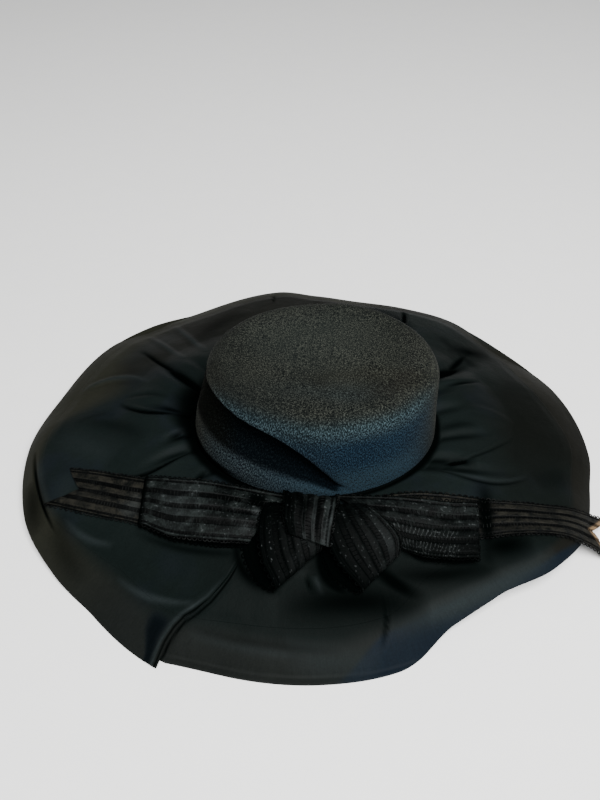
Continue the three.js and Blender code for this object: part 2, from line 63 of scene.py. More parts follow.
MIDDLE_X = 8.6
MIDDLE_Y = -11.5
CROWN_BASE = {"high": 46.0, "x": 3.5, "y": -7.5, "a": 101.0, "b": 80.0}
CROWN_TOP = {"high": 118.0, "x": 9.0, "y": -5.0, "a": 92.5, "b": 76.0}
CLOTH = 1.6
GAP = 0.3
REST_TOP = 2 * CLOTH + GAP
HEM_TUCK = 4.0
COLLAR_INSET = 2.5
PUFF = 4.0
PUFF_SHARE = 0.5
PUFF_POWER = 1.5
ROLL_REACH = 24.0
EDGE = table("at reach lift roll bow hem", [
    (0, 235, 10, 3, 1.5, 30), (20, 239, 6, 2, 1.4, 32), (40, 234, -0.3, 1, 1.4, 33),
    (52, 235, 5, 2, 1.4, 33), (66, 227.5, 7.5, 2, 1.4, 33), (80, 218, 12, 2, 1.5, 33),
    (90, 222, 13, 2, 1.5, 33), (100, 233.5, 12, 2, 1.5, 33), (120, 237.5, 5, 2, 1.4, 33),
    (134, 251, -0.4, 1, 1.4, 33), (144, 256, 4.6, 2, 1.4, 33), (164, 250, 10.5, 3, 1.5, 31),
    (180, 253.5, 14.7, 7, 1.7, 19), (195, 251, 13, 8, 1.9, 18), (210, 239, 6.5, 5, 2, 29),
    (222, 229.5, 1, 4, 2, 33), (234, 228.5, -0.5, 4, 2, 34), (237, 228, 0, 4, 2, 34),
    (238.5, 222, -0.5, 4, 2, 34), (250, 212, -1.4, 4, 2, 34), (270, 206, -1.8, 4, 2, 34),
    (285, 203.5, 0, 5, 1.9, 34), (300, 190, 12, 8, 1.8, 33), (312, 194.5, 20, 9, 1.7, 32),
    (325, 214.5, 23, 8, 1.6, 30), (338, 227, 16, 6, 1.6, 30), (350, 229, 11, 4, 1.5, 30),
])
SEEN_BAND = table("at wide", [
    (0, 18), (6, 21), (12, 25), (20, 28), (28, 26), (34, 17), (40, 12), (52, 12), (66, 13),
    (90, 14), (120, 17), (144, 18), (180, 19), (195, 18), (210, 29), (222, 33), (300, 33),
    (312, 32), (325, 30), (338, 20), (350, 18),
])
GATHERS = table("at reach deep half drift", [
    (10, 40, 2.5, 5, 2), (21.5, 50, 3.5, 6, 3), (30, 110, 4.5, 9, 7), (44, 40, 3, 6, 2),
    (60, 42, 3.5, 6, 0), (76, 38, 3, 6, -2), (92, 44, 3.5, 6, 2), (108, 38, 3, 6, -2),
    (124, 46, 3.5, 6, 0), (136, 36, 3, 6, 0), (146, 60, 2.5, 6, -4), (158, 98, 4.5, 7, -14),
    (172, 66, 3.5, 6, -4), (183, 34, 3.5, 5, 7), (193, 60, 3, 5, 6), (208, 24, 3, 4, 4),
    (331, 80, 3.5, 5, 16), (337, 40, 4, 6, 6), (352, 60, 3, 5, 8),
])
CREASE_START = 6.0
CREASE_FADE = 0.35
CREASE_BANK = 0.6
CREASE_ENDS = 0.6
FOLD_LINE = table("reach at", [
    (120, 246), (143, 243.8), (156, 243.3), (165, 242.6), (175, 241.7), (187, 239.8),
    (193, 238.5), (202, 237.7), (213, 237.4), (225, 237.6), (260, 237.6),
])
FOLD = {"at": 237.6, "high": 5.0, "from": 135.0, "to": 205.0, "left": 35.0, "right": 20.0,
        "edge": 1.2, "dip": 0.3, "turns": 24.0, "zone": 6.0, "overlap": 6.0}
print("tables:", len(EDGE["at"]), "places on the edge,", len(GATHERS["at"]), "gathers")

# %% Curves through the tables
def ease(value, low, high):
    """Smooth step: 3t^2 - 2t^3, with t going from 0 at low to 1 at high."""
    t = np.clip((value - low) / (high - low), 0, 1)
    return t * t * (3 - 2 * t)


def mix(a, b, share):
    """Straight blend from a to b."""
    return a + (b - a) * share


def turn(angle):
    """An angle brought into -180 to 180 degrees."""
    return (angle + 180) % 360 - 180


def around(rows, column, angle):
    """A closed cubic curve through one column: between two rows it is the Hermite blend of
    their values and slopes, and each slope is the harmonic mean of its neighbours', so the
    curve never swings past the rows."""
    at = rows["at"]
    value = rows[column]
    width = (np.roll(at, -1) - at) % 360
    slope = (np.roll(value, -1) - value) / width
    before = np.roll(slope, 1)
    both = np.where(slope + before == 0, 1, slope + before)
    tangent = np.where(slope * before > 0, 2 * slope * before / both, 0)
    angle = np.asarray(angle, float) % 360
    i = (np.searchsorted(at, angle, side="right") - 1) % len(at)
    j = (i + 1) % len(at)
    s = ((angle - at[i]) % 360) / width[i]
    rise = (value[j] - value[i]) * s * s * (3 - 2 * s)
    bend = width[i] * (tangent[i] * s * (1 - s) ** 2 - tangent[j] * s * s * (1 - s))
    return value[i] + rise + bend


def soft_noise(x, y, size, seed):
    """Gentle random hills: random heights on a square lattice of the given size, joined by
    the smooth step in both directions. Values are about -1 to 1."""
    cells = 64
    heights = np.random.default_rng(seed).uniform(-1, 1, (cells, cells))
    u = x / size
    v = y / size
    i = np.floor(u).astype(int)
    j = np.floor(v).astype(int)
    s = ease(u - i, 0, 1)
    t = ease(v - j, 0, 1)
    low = mix(heights[i % cells, j % cells], heights[(i + 1) % cells, j % cells], s)
    high = mix(heights[i % cells, (j + 1) % cells], heights[(i + 1) % cells, (j + 1) % cells], s)
    return mix(low, high, t)


# %% [markdown]
# ## Meshes from grids
# Cloth is a surface with two sides. Each piece is worked out as a grid of points for its
# upper side and one for its underside, and narrow faces close the rims between them, as a
# turned hem does. Writing the grid as arrays keeps it quick and keeps the weave's own
# coordinates (the UV map, in metres along and across the cloth) with every point.

# %% Closed cloth from two grids
def grid_quads(first, rows, across, ring):
    """Corner numbers of the quads of one grid, and each corner's (row, column)."""
    last = rows if ring else rows - 1
    i, j = np.meshgrid(np.arange(last), np.arange(across - 1), indexing="ij")
    row = np.stack([i, i, i + 1, i + 1], -1).reshape(-1, 4)
    column = np.stack([j, j + 1, j + 1, j], -1).reshape(-1, 4)
    return first + (row % rows) * across + column, row, column


def rim_quads(rows, across, ring):
    """Quads that close a two-sided grid along its open sides, with each corner's place."""
    last = rows if ring else rows - 1
    i = np.arange(last)
    j = np.arange(across - 1)
    runs = [(np.stack([i, i + 1, i + 1, i], -1), np.zeros((last, 4), int)),
            (np.stack([i + 1, i, i, i + 1], -1), np.full((last, 4), across - 1))]
    if not ring:
        flat = np.stack([j + 1, j, j, j + 1], -1)
        runs.append((np.zeros((across - 1, 4), int), flat))
        runs.append((np.full((across - 1, 4), rows - 1), flat[:, [1, 0, 3, 2]]))
    row = np.concatenate([r for r, _ in runs])
    column = np.concatenate([c for _, c in runs])
    side = np.array([0, 0, 1, 1]) * rows * across
    return side + (row % rows) * across + column, row, column


def ringed(top, under, uv, under_uv):
    """Points, faces and UV corners of a closed ring of cloth. Its underside may have fewer
    rings than its upper side."""
    rows, across = top.shape[:2]
    below = under.shape[1]
    first = rows * across
    points = np.concatenate([top.reshape(-1, 3), under.reshape(-1, 3)])
    upper, row, column = grid_quads(0, rows, across, True)
    lower, low_row, low_column = grid_quads(first, rows, below, True)
    i = np.arange(rows)
    j = (i + 1) % rows
    inner = np.stack([i * across, j * across, first + j * below, first + i * below], -1)
    outer = np.stack([j * across + across - 1, i * across + across - 1,
                      first + i * below + below - 1, first + j * below + below - 1], -1)
    inner_uv = uv[np.stack([i, i + 1, i + 1, i], -1), 0]
    outer_uv = uv[np.stack([i + 1, i, i, i + 1], -1), across - 1]
    faces = np.concatenate([upper, lower[:, ::-1], inner, outer])
    corner = np.concatenate([uv[row, column], under_uv[low_row, low_column][:, ::-1],
                             inner_uv, outer_uv])
    turned = outward(points, faces)
    if turned is not faces:
        corner = corner[:, ::-1]
    return points, turned, corner


def outward(points, faces):
    """The faces turned so that the body's volume is positive, which points them outward."""
    a = points[faces[:, 0]]
    volume = 0.0
    for k in range(1, faces.shape[1] - 1):
        cross = np.cross(points[faces[:, k]], points[faces[:, k + 1]])
        volume += (a * cross).sum()
    return faces if volume > 0 else faces[:, ::-1]


def new_piece(name, points, faces, uv, material, slot, *nodes, marks=None):
    """A finished piece: points in millimetres, one array of faces with its UV corners or a
    list of such pairs, riding on the hat's one body. marks are named numbers from 0 to 1 at
    each point, which its finish reads."""
    mesh = bpy.data.meshes.new(name)
    groups = [(faces, uv)] if isinstance(faces, np.ndarray) else list(zip(faces, uv))
    corners = [face for group, _ in groups for face in group.tolist()]
    mesh.from_pydata((points * MM).tolist(), [], corners)
    layer = mesh.uv_layers.new(name="cloth")
    flat = np.concatenate([u.reshape(-1) for _, u in groups]) * MM
    layer.data.foreach_set("uv", flat.astype(np.float32))
    mesh.polygons.foreach_set("use_smooth", np.ones(len(mesh.polygons), bool))
    mesh.materials.append(material)
    for mark, values in (marks or {}).items():
        attribute = mesh.attributes.new(mark, "FLOAT", "POINT")
        attribute.data.foreach_set("value", values.astype(np.float32))
    mesh.update()
    piece = bpy.data.objects.new(name, mesh)
    bpy.context.scene.collection.objects.link(piece)
    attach(piece, "root")
    if nodes:
        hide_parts(*nodes)
    print(name, len(mesh.vertices), "points", len(mesh.polygons), "faces")
    return piece


def normals_of(grid, ring):
    """Unit normals of a grid: the cross product of its two central differences."""
    if ring:
        along = np.roll(grid, -1, 0) - np.roll(grid, 1, 0)
    else:
        along = np.gradient(grid, axis=0)
    across = np.gradient(grid, axis=1)
    normal = np.cross(across, along)
    length = np.linalg.norm(normal, axis=-1, keepdims=True)
    return normal / np.maximum(length, TINY)


def two_sided(top, bottom, uv, ring):
    """Points, faces and UV corners of a closed sheet between two grids."""
    rows, across = top.shape[:2]
    points = np.concatenate([top.reshape(-1, 3), bottom.reshape(-1, 3)])
    upper = grid_quads(0, rows, across, ring)
    lower = grid_quads(rows * across, rows, across, ring)
    rim = rim_quads(rows, across, ring)
    faces = np.concatenate([upper[0], lower[0][:, ::-1], rim[0]])
    row = np.concatenate([upper[1], lower[1][:, ::-1], rim[1]])
    column = np.concatenate([upper[2], lower[2][:, ::-1], rim[2]])
    corner = uv[row, column]
    turned = outward(points, faces)
    if turned is not faces:
        corner = corner[:, ::-1]
    return points, turned, corner


# %% [markdown]
# ## The shape of the brim
# The brim is one gathered ring of fine silk. It leaves the crown's base, puffs up a little,
# sinks towards its edge and rolls down over the last stretch. Gathering leaves creases that
# start at the crown and fade outward, and one long fold laps over itself at the front left.
# A height field carries nearly all of that. The lapped fold can't be a height field, so its
# columns are also pushed sideways over each other, which makes a true Z of three layers.

# %% Height of the brim
def crown_root(angle, grow):
    """Distance from the middle to the crown's base oval, grown outward: the positive root of
    the quadratic for where the ray meets the ellipse."""
    a = CROWN_BASE["a"] + grow
    b = CROWN_BASE["b"] + grow
    dx = (MIDDLE_X - CROWN_BASE["x"]) / a
    dy = (MIDDLE_Y - CROWN_BASE["y"]) / b
    cx = np.cos(np.radians(angle)) / a
    cy = np.sin(np.radians(angle)) / b
    along = cx * cx + cy * cy
    half = dx * cx + dy * cy
    rest = dx * dx + dy * dy - 1
    return (-half + np.sqrt(half * half - along * rest)) / along


def gather_drop(angle, reach, root):
    """Depth of the gathers: each is a groove with raised banks, (1 - b d^2) exp(-d^2 / 2)
    across its line, which starts at the crown and fades on its way out."""
    drop = np.zeros(np.broadcast(angle, reach).shape)
    for at, length, deep, half, drift in zip(*(GATHERS[k] for k in GATHERS)):
        along = (reach - root) / length
        off = np.radians(turn(angle - at - drift * along)) * reach / half
        fade = ease(reach - root, 0, CREASE_START) * (1 - ease(along, CREASE_FADE, 1))
        drop += deep * fade * (1 - CREASE_BANK * off * off) * np.exp(-off * off / 2)
    return drop


def fold_offset(angle, reach):
    """Distance to the right of the lapped fold's line, in millimetres."""
    line = np.interp(reach, FOLD_LINE["reach"], FOLD_LINE["at"])
    return np.radians(turn(angle - line)) * reach


def fold_rise(angle, reach):
    """The fold's left side rides up on its right side, and both ease away from it."""
    off = -fold_offset(angle, reach)
    side = ease(off, -FOLD["edge"], FOLD["edge"])
    left = side * np.exp(-np.maximum(off, 0) / FOLD["left"])
    right = FOLD["dip"] * (1 - side) * np.exp(np.minimum(off, 0) / FOLD["right"])
    return FOLD["high"] * ease(reach, FOLD["from"], FOLD["to"]) * (left - right)


def unbent(angle, reach):
    """Near the fold the edge's measures are read along the fold's own line."""
    shift = np.interp(reach, FOLD_LINE["reach"], FOLD_LINE["at"]) - FOLD["at"]
    pull = np.clip(1 - np.abs(turn(angle - shift - FOLD["at"])) / FOLD["turns"], 0, 1)
    return angle - pull * shift


def brim_top(angle, reach):
    """Height of the brim cloth: a power curve from the crown's base to the edge, a smooth
    puff, the roll at the edge, less the gathers, plus the fold, never below the floor."""
    at = unbent(angle, reach)
    edge = around(EDGE, "reach", at)
    roll = around(EDGE, "roll", at)
    lift = around(EDGE, "lift", at)
    root = crown_root(angle, 1)
    out = np.clip((reach - root) / (edge - root), 0, 1)
    high = mix(CROWN_BASE["high"] - GAP, lift + roll, out ** around(EDGE, "bow", at))
    inner = np.clip(out / PUFF_SHARE, 0, 1)
    high = high + PUFF * (4 * inner * (1 - inner)) ** PUFF_POWER
    high = high - roll * np.clip((reach - edge + ROLL_REACH) / ROLL_REACH, 0, None) ** 2
    high = high - gather_drop(angle, reach, root) + fold_rise(angle, reach)
    return np.maximum(high, REST_TOP)


def seen_from_above(angle, reach):
    """The x and y of places given by their angle and reach."""
    return (MIDDLE_X + reach * np.cos(np.radians(angle)),
            MIDDLE_Y + reach * np.sin(np.radians(angle)))


def brim_height_at(x, y):
    """Height of the brim under points seen from above."""
    dx = x - MIDDLE_X
    dy = y - MIDDLE_Y
    return brim_top(np.degrees(np.arctan2(dy, dx)), np.hypot(dx, dy))


# %% [markdown]
# ## Fine creases
# Silk keeps every small crease. Each is charted from above by three points on its line, with
# a depth (a ridge where it is negative) and a half width. They are too fine for the solids,
# so they only go into the cloth here, together with a faint unevenness.

# %% Fine creases of the brim
CREASES = table("x1 y1 x2 y2 x3 y3 deep half", [
    (-194, -91, -179, -105, -156, -118, -1.3, 3), (-141, -141, -115, -160, -85, -171, -1.2, 3.5),
    (-5, -149, -3, -155, 0, -163, 1.3, 1.6), (2, -150, 4, -156, 7, -164, -0.9, 2),
    (52, -160, 54, -178, 50, -195, 1.2, 1.8), (99, 178, 97, 161, 94, 142, 2.6, 2.6),
    (-36, 203, -36, 195, -36, 183, 0.7, 0.8), (-138, 163, -117, 127, -96, 89, -1.3, 3),
    (-161, 144, -138, 112, -116, 79, -1.3, 3), (-234, -22, -222, -63, -198, -106, 1.6, 1.5),
    (103, -58, 133, -45, 173, -14, 0.9, 1.5), (106, -53, 116, -51, 130, -53, 1.8, 3),
    (100, -59, 129, -70, 176, -58, 1.2, 2), (-208, 58, -181, 68, -149, 52, -1.5, 4),
    (-160, 18, -134, 3, -109, 4, 1.3, 2.4), (-118, -27, -112, -21, -104, -16, 1.2, 2),
    (-96, -33, -136, -64, -182, -55, 1.8, 1.8), (-95, -77, -90, -70, -84, -61, 1.5, 2),
    (-160, 107, -134, 76, -110, 49, 1.4, 2.4), (121, 58, 138, 85, 157, 114, 1.4, 4),
    (118, 38, 136, 46, 155, 57, 1.2, 2.4), (-120, 20, -140, 30, -165, 34, 0.7, 3),
    (130, 10, 150, 12, 176, 4, -0.7, 4),
])
RIPPLE = {"size": 34.0, "high": 0.55, "fine": 11.0, "fine_high": 0.16}
RIPPLE_SEEDS = (3, 4)


def lines_at(rows, x, y):
    """For each charted line: its strength at a place, fading at both ends, and how far off
    the line the place is, in half widths. The line bows off its chord as a parabola."""
    for x1, y1, x2, y2, x3, y3, strength, half in zip(*(rows[k] for k in rows)):
        cx = x3 - x1
        cy = y3 - y1
        length = np.hypot(cx, cy)
        along = ((x - x1) * cx + (y - y1) * cy) / length ** 2
        middle = ((x2 - x1) * -cy + (y2 - y1) * cx) / length
        off = ((x - x1) * -cy + (y - y1) * cx) / length
        off = (off - 4 * middle * along * (1 - along)) / half
        yield strength * np.sin(np.pi * np.clip(along, 0, 1)) ** CREASE_ENDS, off


def strongest(rows, x, y):
    """The strongest charted line at each place: each is a bell curve across its line."""
    most = np.zeros(x.shape)
    for strength, off in lines_at(rows, x, y):
        most = np.maximum(most, strength * np.exp(-off * off / 2))
    return most


def crease_drop(x, y):
    """Depth of the fine creases: each is a groove with banks across its line."""
    drop = np.zeros(x.shape)
    for deep, off in lines_at(CREASES, x, y):
        drop += deep * (1 - CREASE_BANK * off * off) * np.exp(-off * off / 2)
    return drop


def ripple(x, y):
    """The faint unevenness of soft cloth: two sizes of gentle random hills."""
    large = RIPPLE["high"] * soft_noise(x, y, RIPPLE["size"], RIPPLE_SEEDS[0])
    return large + RIPPLE["fine_high"] * soft_noise(x, y, RIPPLE["fine"], RIPPLE_SEEDS[1])


print("fine creases:", len(CREASES["deep"]))

# %% Grid of the brim
COLUMN_STEP = 0.58
FOLD_HALF_TURN = 2.4
FOLD_STEPS = 41
FINE_START = (1, 10)


def brim_columns():
    """Angles round the brim: even steps, with close ones through the lapped fold."""
    even = np.arange(0, 360, COLUMN_STEP)
    even = even[np.abs(turn(even - FOLD["at"])) > FOLD_HALF_TURN]
    close = FOLD["at"] + np.linspace(-FOLD_HALF_TURN, FOLD_HALF_TURN, FOLD_STEPS)
    return np.sort(np.concatenate([even, close]))


def bent(column, reach):
    """The columns near the fold bend with its line."""
    pull = np.clip(1 - np.abs(turn(column - FOLD["at"])) / FOLD["turns"], 0, 1)
    return column + pull * (np.interp(reach, FOLD_LINE["reach"], FOLD_LINE["at"]) - FOLD["at"])


def brim_surface(column, reach, drop, fine):
    """Points of the brim at some depth under its top. Through the fold the cloth is moved
    sideways by A sin(pi d / w), which laps its left side over its right side."""
    angle = bent(column, reach)
    off = fold_offset(angle, reach)
    lap = FOLD["overlap"] * ease(reach, FOLD["from"], FOLD["to"])
    inside = np.abs(off) < FOLD["zone"]
    shift = np.where(inside, -lap * np.sin(np.pi * off / FOLD["zone"]), 0)
    high = brim_top(angle, reach) - drop
    angle = angle + np.degrees(shift / reach)
    x, y = seen_from_above(angle, reach)
    free = ease(reach - crown_root(angle, 1), *FINE_START) * fine
    high = high - free * (crease_drop(x, y) - ripple(x, y))
    return np.stack([x, y, high], -1)


columns = brim_columns()
edge_reach = around(EDGE, "reach", columns)[:, None]
hem_width = around(EDGE, "hem", columns)[:, None]
seen_width = np.minimum(around(SEEN_BAND, "wide", columns)[:, None], hem_width)
print("columns round the brim:", len(columns))

# %% [markdown]
# ## Small sums for finishes
# A finish is a small network of nodes. Written as sums in Python it stays readable: the
# class below wraps a socket, and every operator on it adds the Math node that does it. Any
# other node comes from one method, which takes its kind, its settings and its inputs.

# %% Finish helper
class Wire:
    """One output in a node tree. Sums on wires add Math nodes, and so does the larger of
    two of them."""

    def __init__(self, finish, socket):
        self.finish = finish
        self.socket = socket

    def math(self, operation, a, b):
        return self.finish.add("ShaderNodeMath", {"operation": operation}, {0: a, 1: b})

    def __add__(self, other):
        return self.math("ADD", self, other)

    def __radd__(self, other):
        return self.math("ADD", other, self)

    def __sub__(self, other):
        return self.math("SUBTRACT", self, other)

    def __rsub__(self, other):
        return self.math("SUBTRACT", other, self)

    def __mul__(self, other):
        return self.math("MULTIPLY", self, other)

    def __rmul__(self, other):
        return self.math("MULTIPLY", other, self)

    def __truediv__(self, other):
        return self.math("DIVIDE", self, other)

    def larger(self, other):
        return self.math("MAXIMUM", self, other)


class Finish:
    """A material that is built up node by node."""

    def __init__(self, name):
        self.material = bpy.data.materials.new(name)
        self.material.use_nodes = True
        self.tree = self.material.node_tree
        self.tree.nodes.clear()

    def add(self, kind, settings=None, inputs=None, output=0):
        """A node of a kind, its settings first, then the values or wires of its inputs."""
        node = self.tree.nodes.new(kind)
        for key, value in (settings or {}).items():
            setattr(node, key, value)
        for key, value in (inputs or {}).items():
            if isinstance(value, Wire):
                self.tree.links.new(value.socket, node.inputs[key])
            elif isinstance(value, tuple) and len(value) == 3 and node.inputs[key].type == "RGBA":
                node.inputs[key].default_value = (*value, 1)
            else:
                node.inputs[key].default_value = value
        return Wire(self, node.outputs[output])

    def place(self, kind="Object"):
        """Where a point is: Object coordinates, or the piece's UV map."""
        return self.add("ShaderNodeTexCoord", output=kind)

    def scaled(self, vector, scale, turned=(0, 0, 0)):
        """The coordinates stretched, and turned after that."""
        return self.add("ShaderNodeMapping", {}, {"Vector": vector, "Scale": scale,
                                                  "Rotation": turned})

    def noise(self, vector, scale, detail=2.0, roughness=0.5):
        """Soft random clouds from 0 to 1."""
        return self.add("ShaderNodeTexNoise", {}, {"Vector": vector, "Scale": scale,
                                                   "Detail": detail, "Roughness": roughness})

    def step(self, value, low, high, start=0.0, end=1.0):
        """A smooth step from start to end as value goes from low to high."""
        return self.add("ShaderNodeMapRange", {"interpolation_type": "SMOOTHSTEP"},
                        {"Value": value, 1: low, 2: high, 3: start, 4: end})

    def bands(self, vector, sizes):
        """Wavy stripes from 0 to 1."""
        return self.add("ShaderNodeTexWave", {"wave_type": "BANDS", "bands_direction": "X"},
                        {"Vector": vector, **sizes}, "Fac")

    def blend(self, share, a, b):
        """A colour from a to b."""
        return self.add("ShaderNodeMix", {"data_type": "RGBA"}, {0: share, 6: a, 7: b}, 2)

    def mark(self, name):
        """A number from 0 to 1 that the piece's points carry."""
        return self.add("ShaderNodeAttribute", {"attribute_name": name}, {}, "Fac")

    def axis(self, vector, name):
        """One of the three numbers of a vector."""
        return self.add("ShaderNodeSeparateXYZ", {}, {0: vector}, name)

    def bump(self, height, distance, strength=1.0, normal=None):
        """A relief of some height, in metres."""
        inputs = {"Height": height, "Distance": distance, "Strength": strength}
        if normal is not None:
            inputs["Normal"] = normal
        return self.add("ShaderNodeBump", {}, inputs)

    def finish(self, colour, roughness, normal, constants, shade=None):
        """The surface itself. The constants are set on the shader's own sockets. Where shade
        is 1 it is mixed into a dull near-black surface: painted shade, as at the bottom of a
        fold."""
        inputs = {"Base Color": colour, "Roughness": roughness, "Normal": normal, **constants}
        shader = self.add("ShaderNodeBsdfPrincipled", {}, inputs)
        if shade is not None:
            dark = self.add("ShaderNodeBsdfPrincipled", {}, {
                "Base Color": SHADE_AND_SPECK_DARK, "Roughness": 1.0, "Specular IOR Level": 0.0})
            shader = self.add("ShaderNodeMixShader", {}, {0: shade, 1: shader, 2: dark})
        node = self.tree.nodes.new("ShaderNodeOutputMaterial")
        self.tree.links.new(shader.socket, node.inputs["Surface"])
        return self.material


# Near-black of the painted shade, also the colour of the silk's own dark specks.
SHADE_AND_SPECK_DARK = (0.0004, 0.0008, 0.0007)
print("finish helper ready")

# %% [markdown]
# ## The silk of the brim
# The brim is a fine plain silk, almost black. Its colour drifts from a cold green-black near
# the bow to a brown-black on the far side, which is painted warm light, and its front is
# painted darker as shade. Marks that its points carry say where it is the paler band, where
# its front roll is painted blue as cool light, where the silk has painted highlights and where
# painted shade lies. A fine crosswise weave and small crinkles are too small for a mesh, so
# they are bump.
# Numbers that belong to a finish stand in its own short tables: sizes of its noises, with
# their detail and roughness, and ranges of its smooth steps, as low, high, start and end.

# %% Silk finishes
# The far and tan ground colours are painted warm light, and the front one is painted shade.
BRIM_NEAR = (0.0046, 0.0074, 0.0070)
BRIM_COLD = (0.0050, 0.0074, 0.0092)
BRIM_FRONT_SHADE = (0.0014, 0.0030, 0.0026)
BRIM_FAR_WARM_LIGHT = (0.0028, 0.0035, 0.0027)
BRIM_TAN_WARM_LIGHT = (0.0066, 0.0070, 0.0058)
BAND_NEAR = (0.0068, 0.0080, 0.0073)
BAND_LEFT = (0.0135, 0.0140, 0.0098)
BAND_RIGHT = (0.0058, 0.0059, 0.0046)
BAND_BACK = (0.0105, 0.0107, 0.0084)
# Painted cool light on the outer side of the front roll and in the shade under the fold.
PAINTED_COOL_LIGHT = (0.0038, 0.0068, 0.0108)
PAINTED_HIGHLIGHT_SILK = (0.0120, 0.0160, 0.0165)
SILK_SHINE = {"Specular IOR Level": 0.035}
SILK_NOISE = {
    "clouds": (9.0, 3.0), "blots": (22.0, 3.0), "grain": (900.0, 2.0), "streak": (1.0, 2.0),
    "crinkle": (130.0, 4.0, 0.6),
}
SILK_STREAK = (1500.0, 110.0, 1.0)
SILK_STEP = {
    "blots": (0.5, 0.66, 0.0, 0.8), "far": (0.95, 1.55), "front": (-0.07, -0.125),
    "front_right": (-0.11, -0.03, 0.45, 1.0), "tan": (0.15, 0.24), "band_left": (-0.09, 0.05),
    "band_right": (0.08, 0.17), "back": (0.03, 0.09), "back_right": (0.1, 0.17),
    "speck": (0.36, 0.64, 0.3, 0.0), "rough": (0.3, 0.7, 0.52, 0.66),
}
CRINKLE = (0.0006, 0.5)
WEAVE = (0.00012, 0.6)


def silk(name):
    """Plain silk: drifting colours with painted warm light on the far side and painted shade in
    front, the band, and from the marks painted highlights, painted cool light and painted shade;
    a fine weave on the cloth's own coordinates and a crinkle on Object coordinates."""
    f = Finish(name)
    place = f.place()
    cloth = f.place("UV")
    x = f.axis(place, "X")
    y = f.axis(place, "Y")
    size = SILK_NOISE
    clouds = f.noise(place, *size["clouds"])
    blots = f.noise(place, *size["blots"])
    grain = f.noise(place, *size["grain"])
    streak = f.noise(f.scaled(cloth, SILK_STREAK), *size["streak"])
    step = SILK_STEP
    # Painted warm light on the far side and at the back left, painted shade on the front.
    far = f.step(x * 4.5 + y * 1.2 + clouds * 0.9, *step["far"])
    ground = f.blend(f.step(blots, *step["blots"]), BRIM_NEAR, BRIM_COLD)
    ground = f.blend(far, ground, BRIM_FAR_WARM_LIGHT)
    front = f.step(y + clouds * 0.03, *step["front"]) * f.step(x, *step["front_right"])
    ground = f.blend(front, ground, BRIM_FRONT_SHADE)
    ground = f.blend(f.step(y - x * 0.5 + clouds * 0.1, *step["tan"]), ground, BRIM_TAN_WARM_LIGHT)
    band = f.blend(f.step(y - x * 0.6, *step["band_left"]), BAND_NEAR, BAND_LEFT)
    band = f.blend(f.step(x + y * 0.3, *step["band_right"]), band, BAND_RIGHT)
    band = f.blend(f.step(y, *step["back"]) * f.step(x, *step["back_right"]), band, BAND_BACK)
    colour = f.blend(f.mark("rim"), ground, band)
    # Painted cool light: the cold mark tints the front roll and the shade under the fold blue.
    colour = f.blend(f.mark("cold"), colour, PAINTED_COOL_LIGHT)
    # Painted highlight where a ridge or crest catches the light.
    colour = f.blend(f.mark("pale"), colour, PAINTED_HIGHLIGHT_SILK)
    speck = f.step(grain * 0.4 + streak * 0.35 + blots * 0.25, *step["speck"])
    colour = f.blend(speck, colour, SHADE_AND_SPECK_DARK)
    relief = f.bump(f.noise(place, *size["crinkle"]), *CRINKLE)
    weave = f.bump(grain * 0.6 + streak * 0.4, *WEAVE, relief)
    roughness = f.step(clouds * 0.6 + grain * 0.4, *step["rough"])
    # The crease mark is painted shade: there the surface is mixed towards near-black.
    return f.finish(colour, roughness, weave, SILK_SHINE, f.mark("crease"))


brim_silk = silk("brim_silk")
hem_silk = silk("hem_silk")
print("silk:", brim_silk.name, hem_silk.name)

# %% [markdown]
# ## Making the brim and its hem
# The brim cloth runs from a narrow collar under the crown out over the hem band. The band
# is a doubled strip of the same silk round the edge, tucked under the cloth, so its inner
# line shows as a small step. Its outer edge is a soft roll, not a cut. The marks of both are
# charted like the creases: by tables round the edge and by lines seen from above.

# %% Brim cloth
BRIM_RINGS = 124
RING_POWER = 1.15
UNDER_EVERY = 4
UNDER_FAINT = 0.3
SILK = 0.5
SINK = 1.0
HEM_DIP = {"deep": 0.65, "wide": 9.0}
SEAM_ROLL = 0.3
THIN = 0.15
THIN_FROM = 0.9
# Depths of the gathers and fine creases at which their painted shade is full, and how sharp it
# is.
CREASE_SHADE_FULL = {"gather": 3.6, "fine": 1.3}
CREASE_SHADE_SHARP = {"gather": 3, "fine": 1.5}


def brim_cloth():
    """Grid from the collar through the crown's base to the band's seen inner line. The last
    ring but one is close to the last, so that the cloth's rim is a small roll."""
    end = edge_reach - seen_width
    root = crown_root(columns, 1)[:, None]
    share = np.linspace(0, 1, BRIM_RINGS)[None, :] ** RING_POWER
    reach = mix(root, end, share)
    reach[:, -2:-1] = end - SEAM_ROLL
    column = np.broadcast_to(columns[:, None], reach.shape)
    drop = SINK + HEM_DIP["deep"] * ease(reach, end - HEM_DIP["wide"], end)
    top = brim_surface(column, reach, drop, 1.0)
    base = np.full_like(columns, CROWN_BASE["high"] - GAP - SINK)
    top[:, 0] = np.stack([*seen_from_above(columns, root[:, 0]), base], -1)
    collar = crown_root(columns, -COLLAR_INSET)
    first = np.stack([*seen_from_above(columns, collar), base], -1)
    return np.concatenate([first[:, None], top], 1)


def cloth_uv(grid, ring):
    """Coordinates of the cloth itself: the way along each row and across it, in mm."""
    closed = np.concatenate([grid, grid[:1]]) if ring else grid
    along = np.linalg.norm(np.diff(closed, axis=0), axis=-1).mean(1)
    across = np.linalg.norm(np.diff(closed, axis=1), axis=-1).mean(0)
    u = np.concatenate([[0], np.cumsum(along)])
    v = np.concatenate([[0], np.cumsum(across)])
    return np.stack(np.meshgrid(u, v, indexing="ij"), -1)


def area_of(grid, ring):
    """Area of a grid's surface in square metres, from its quads' diagonals."""
    closed = np.concatenate([grid, grid[:1]]) if ring else grid
    one = closed[1:, 1:] - closed[:-1, :-1]
    other = closed[1:, :-1] - closed[:-1, 1:]
    return np.linalg.norm(np.cross(one, other), axis=-1).sum() / 2 * MM * MM
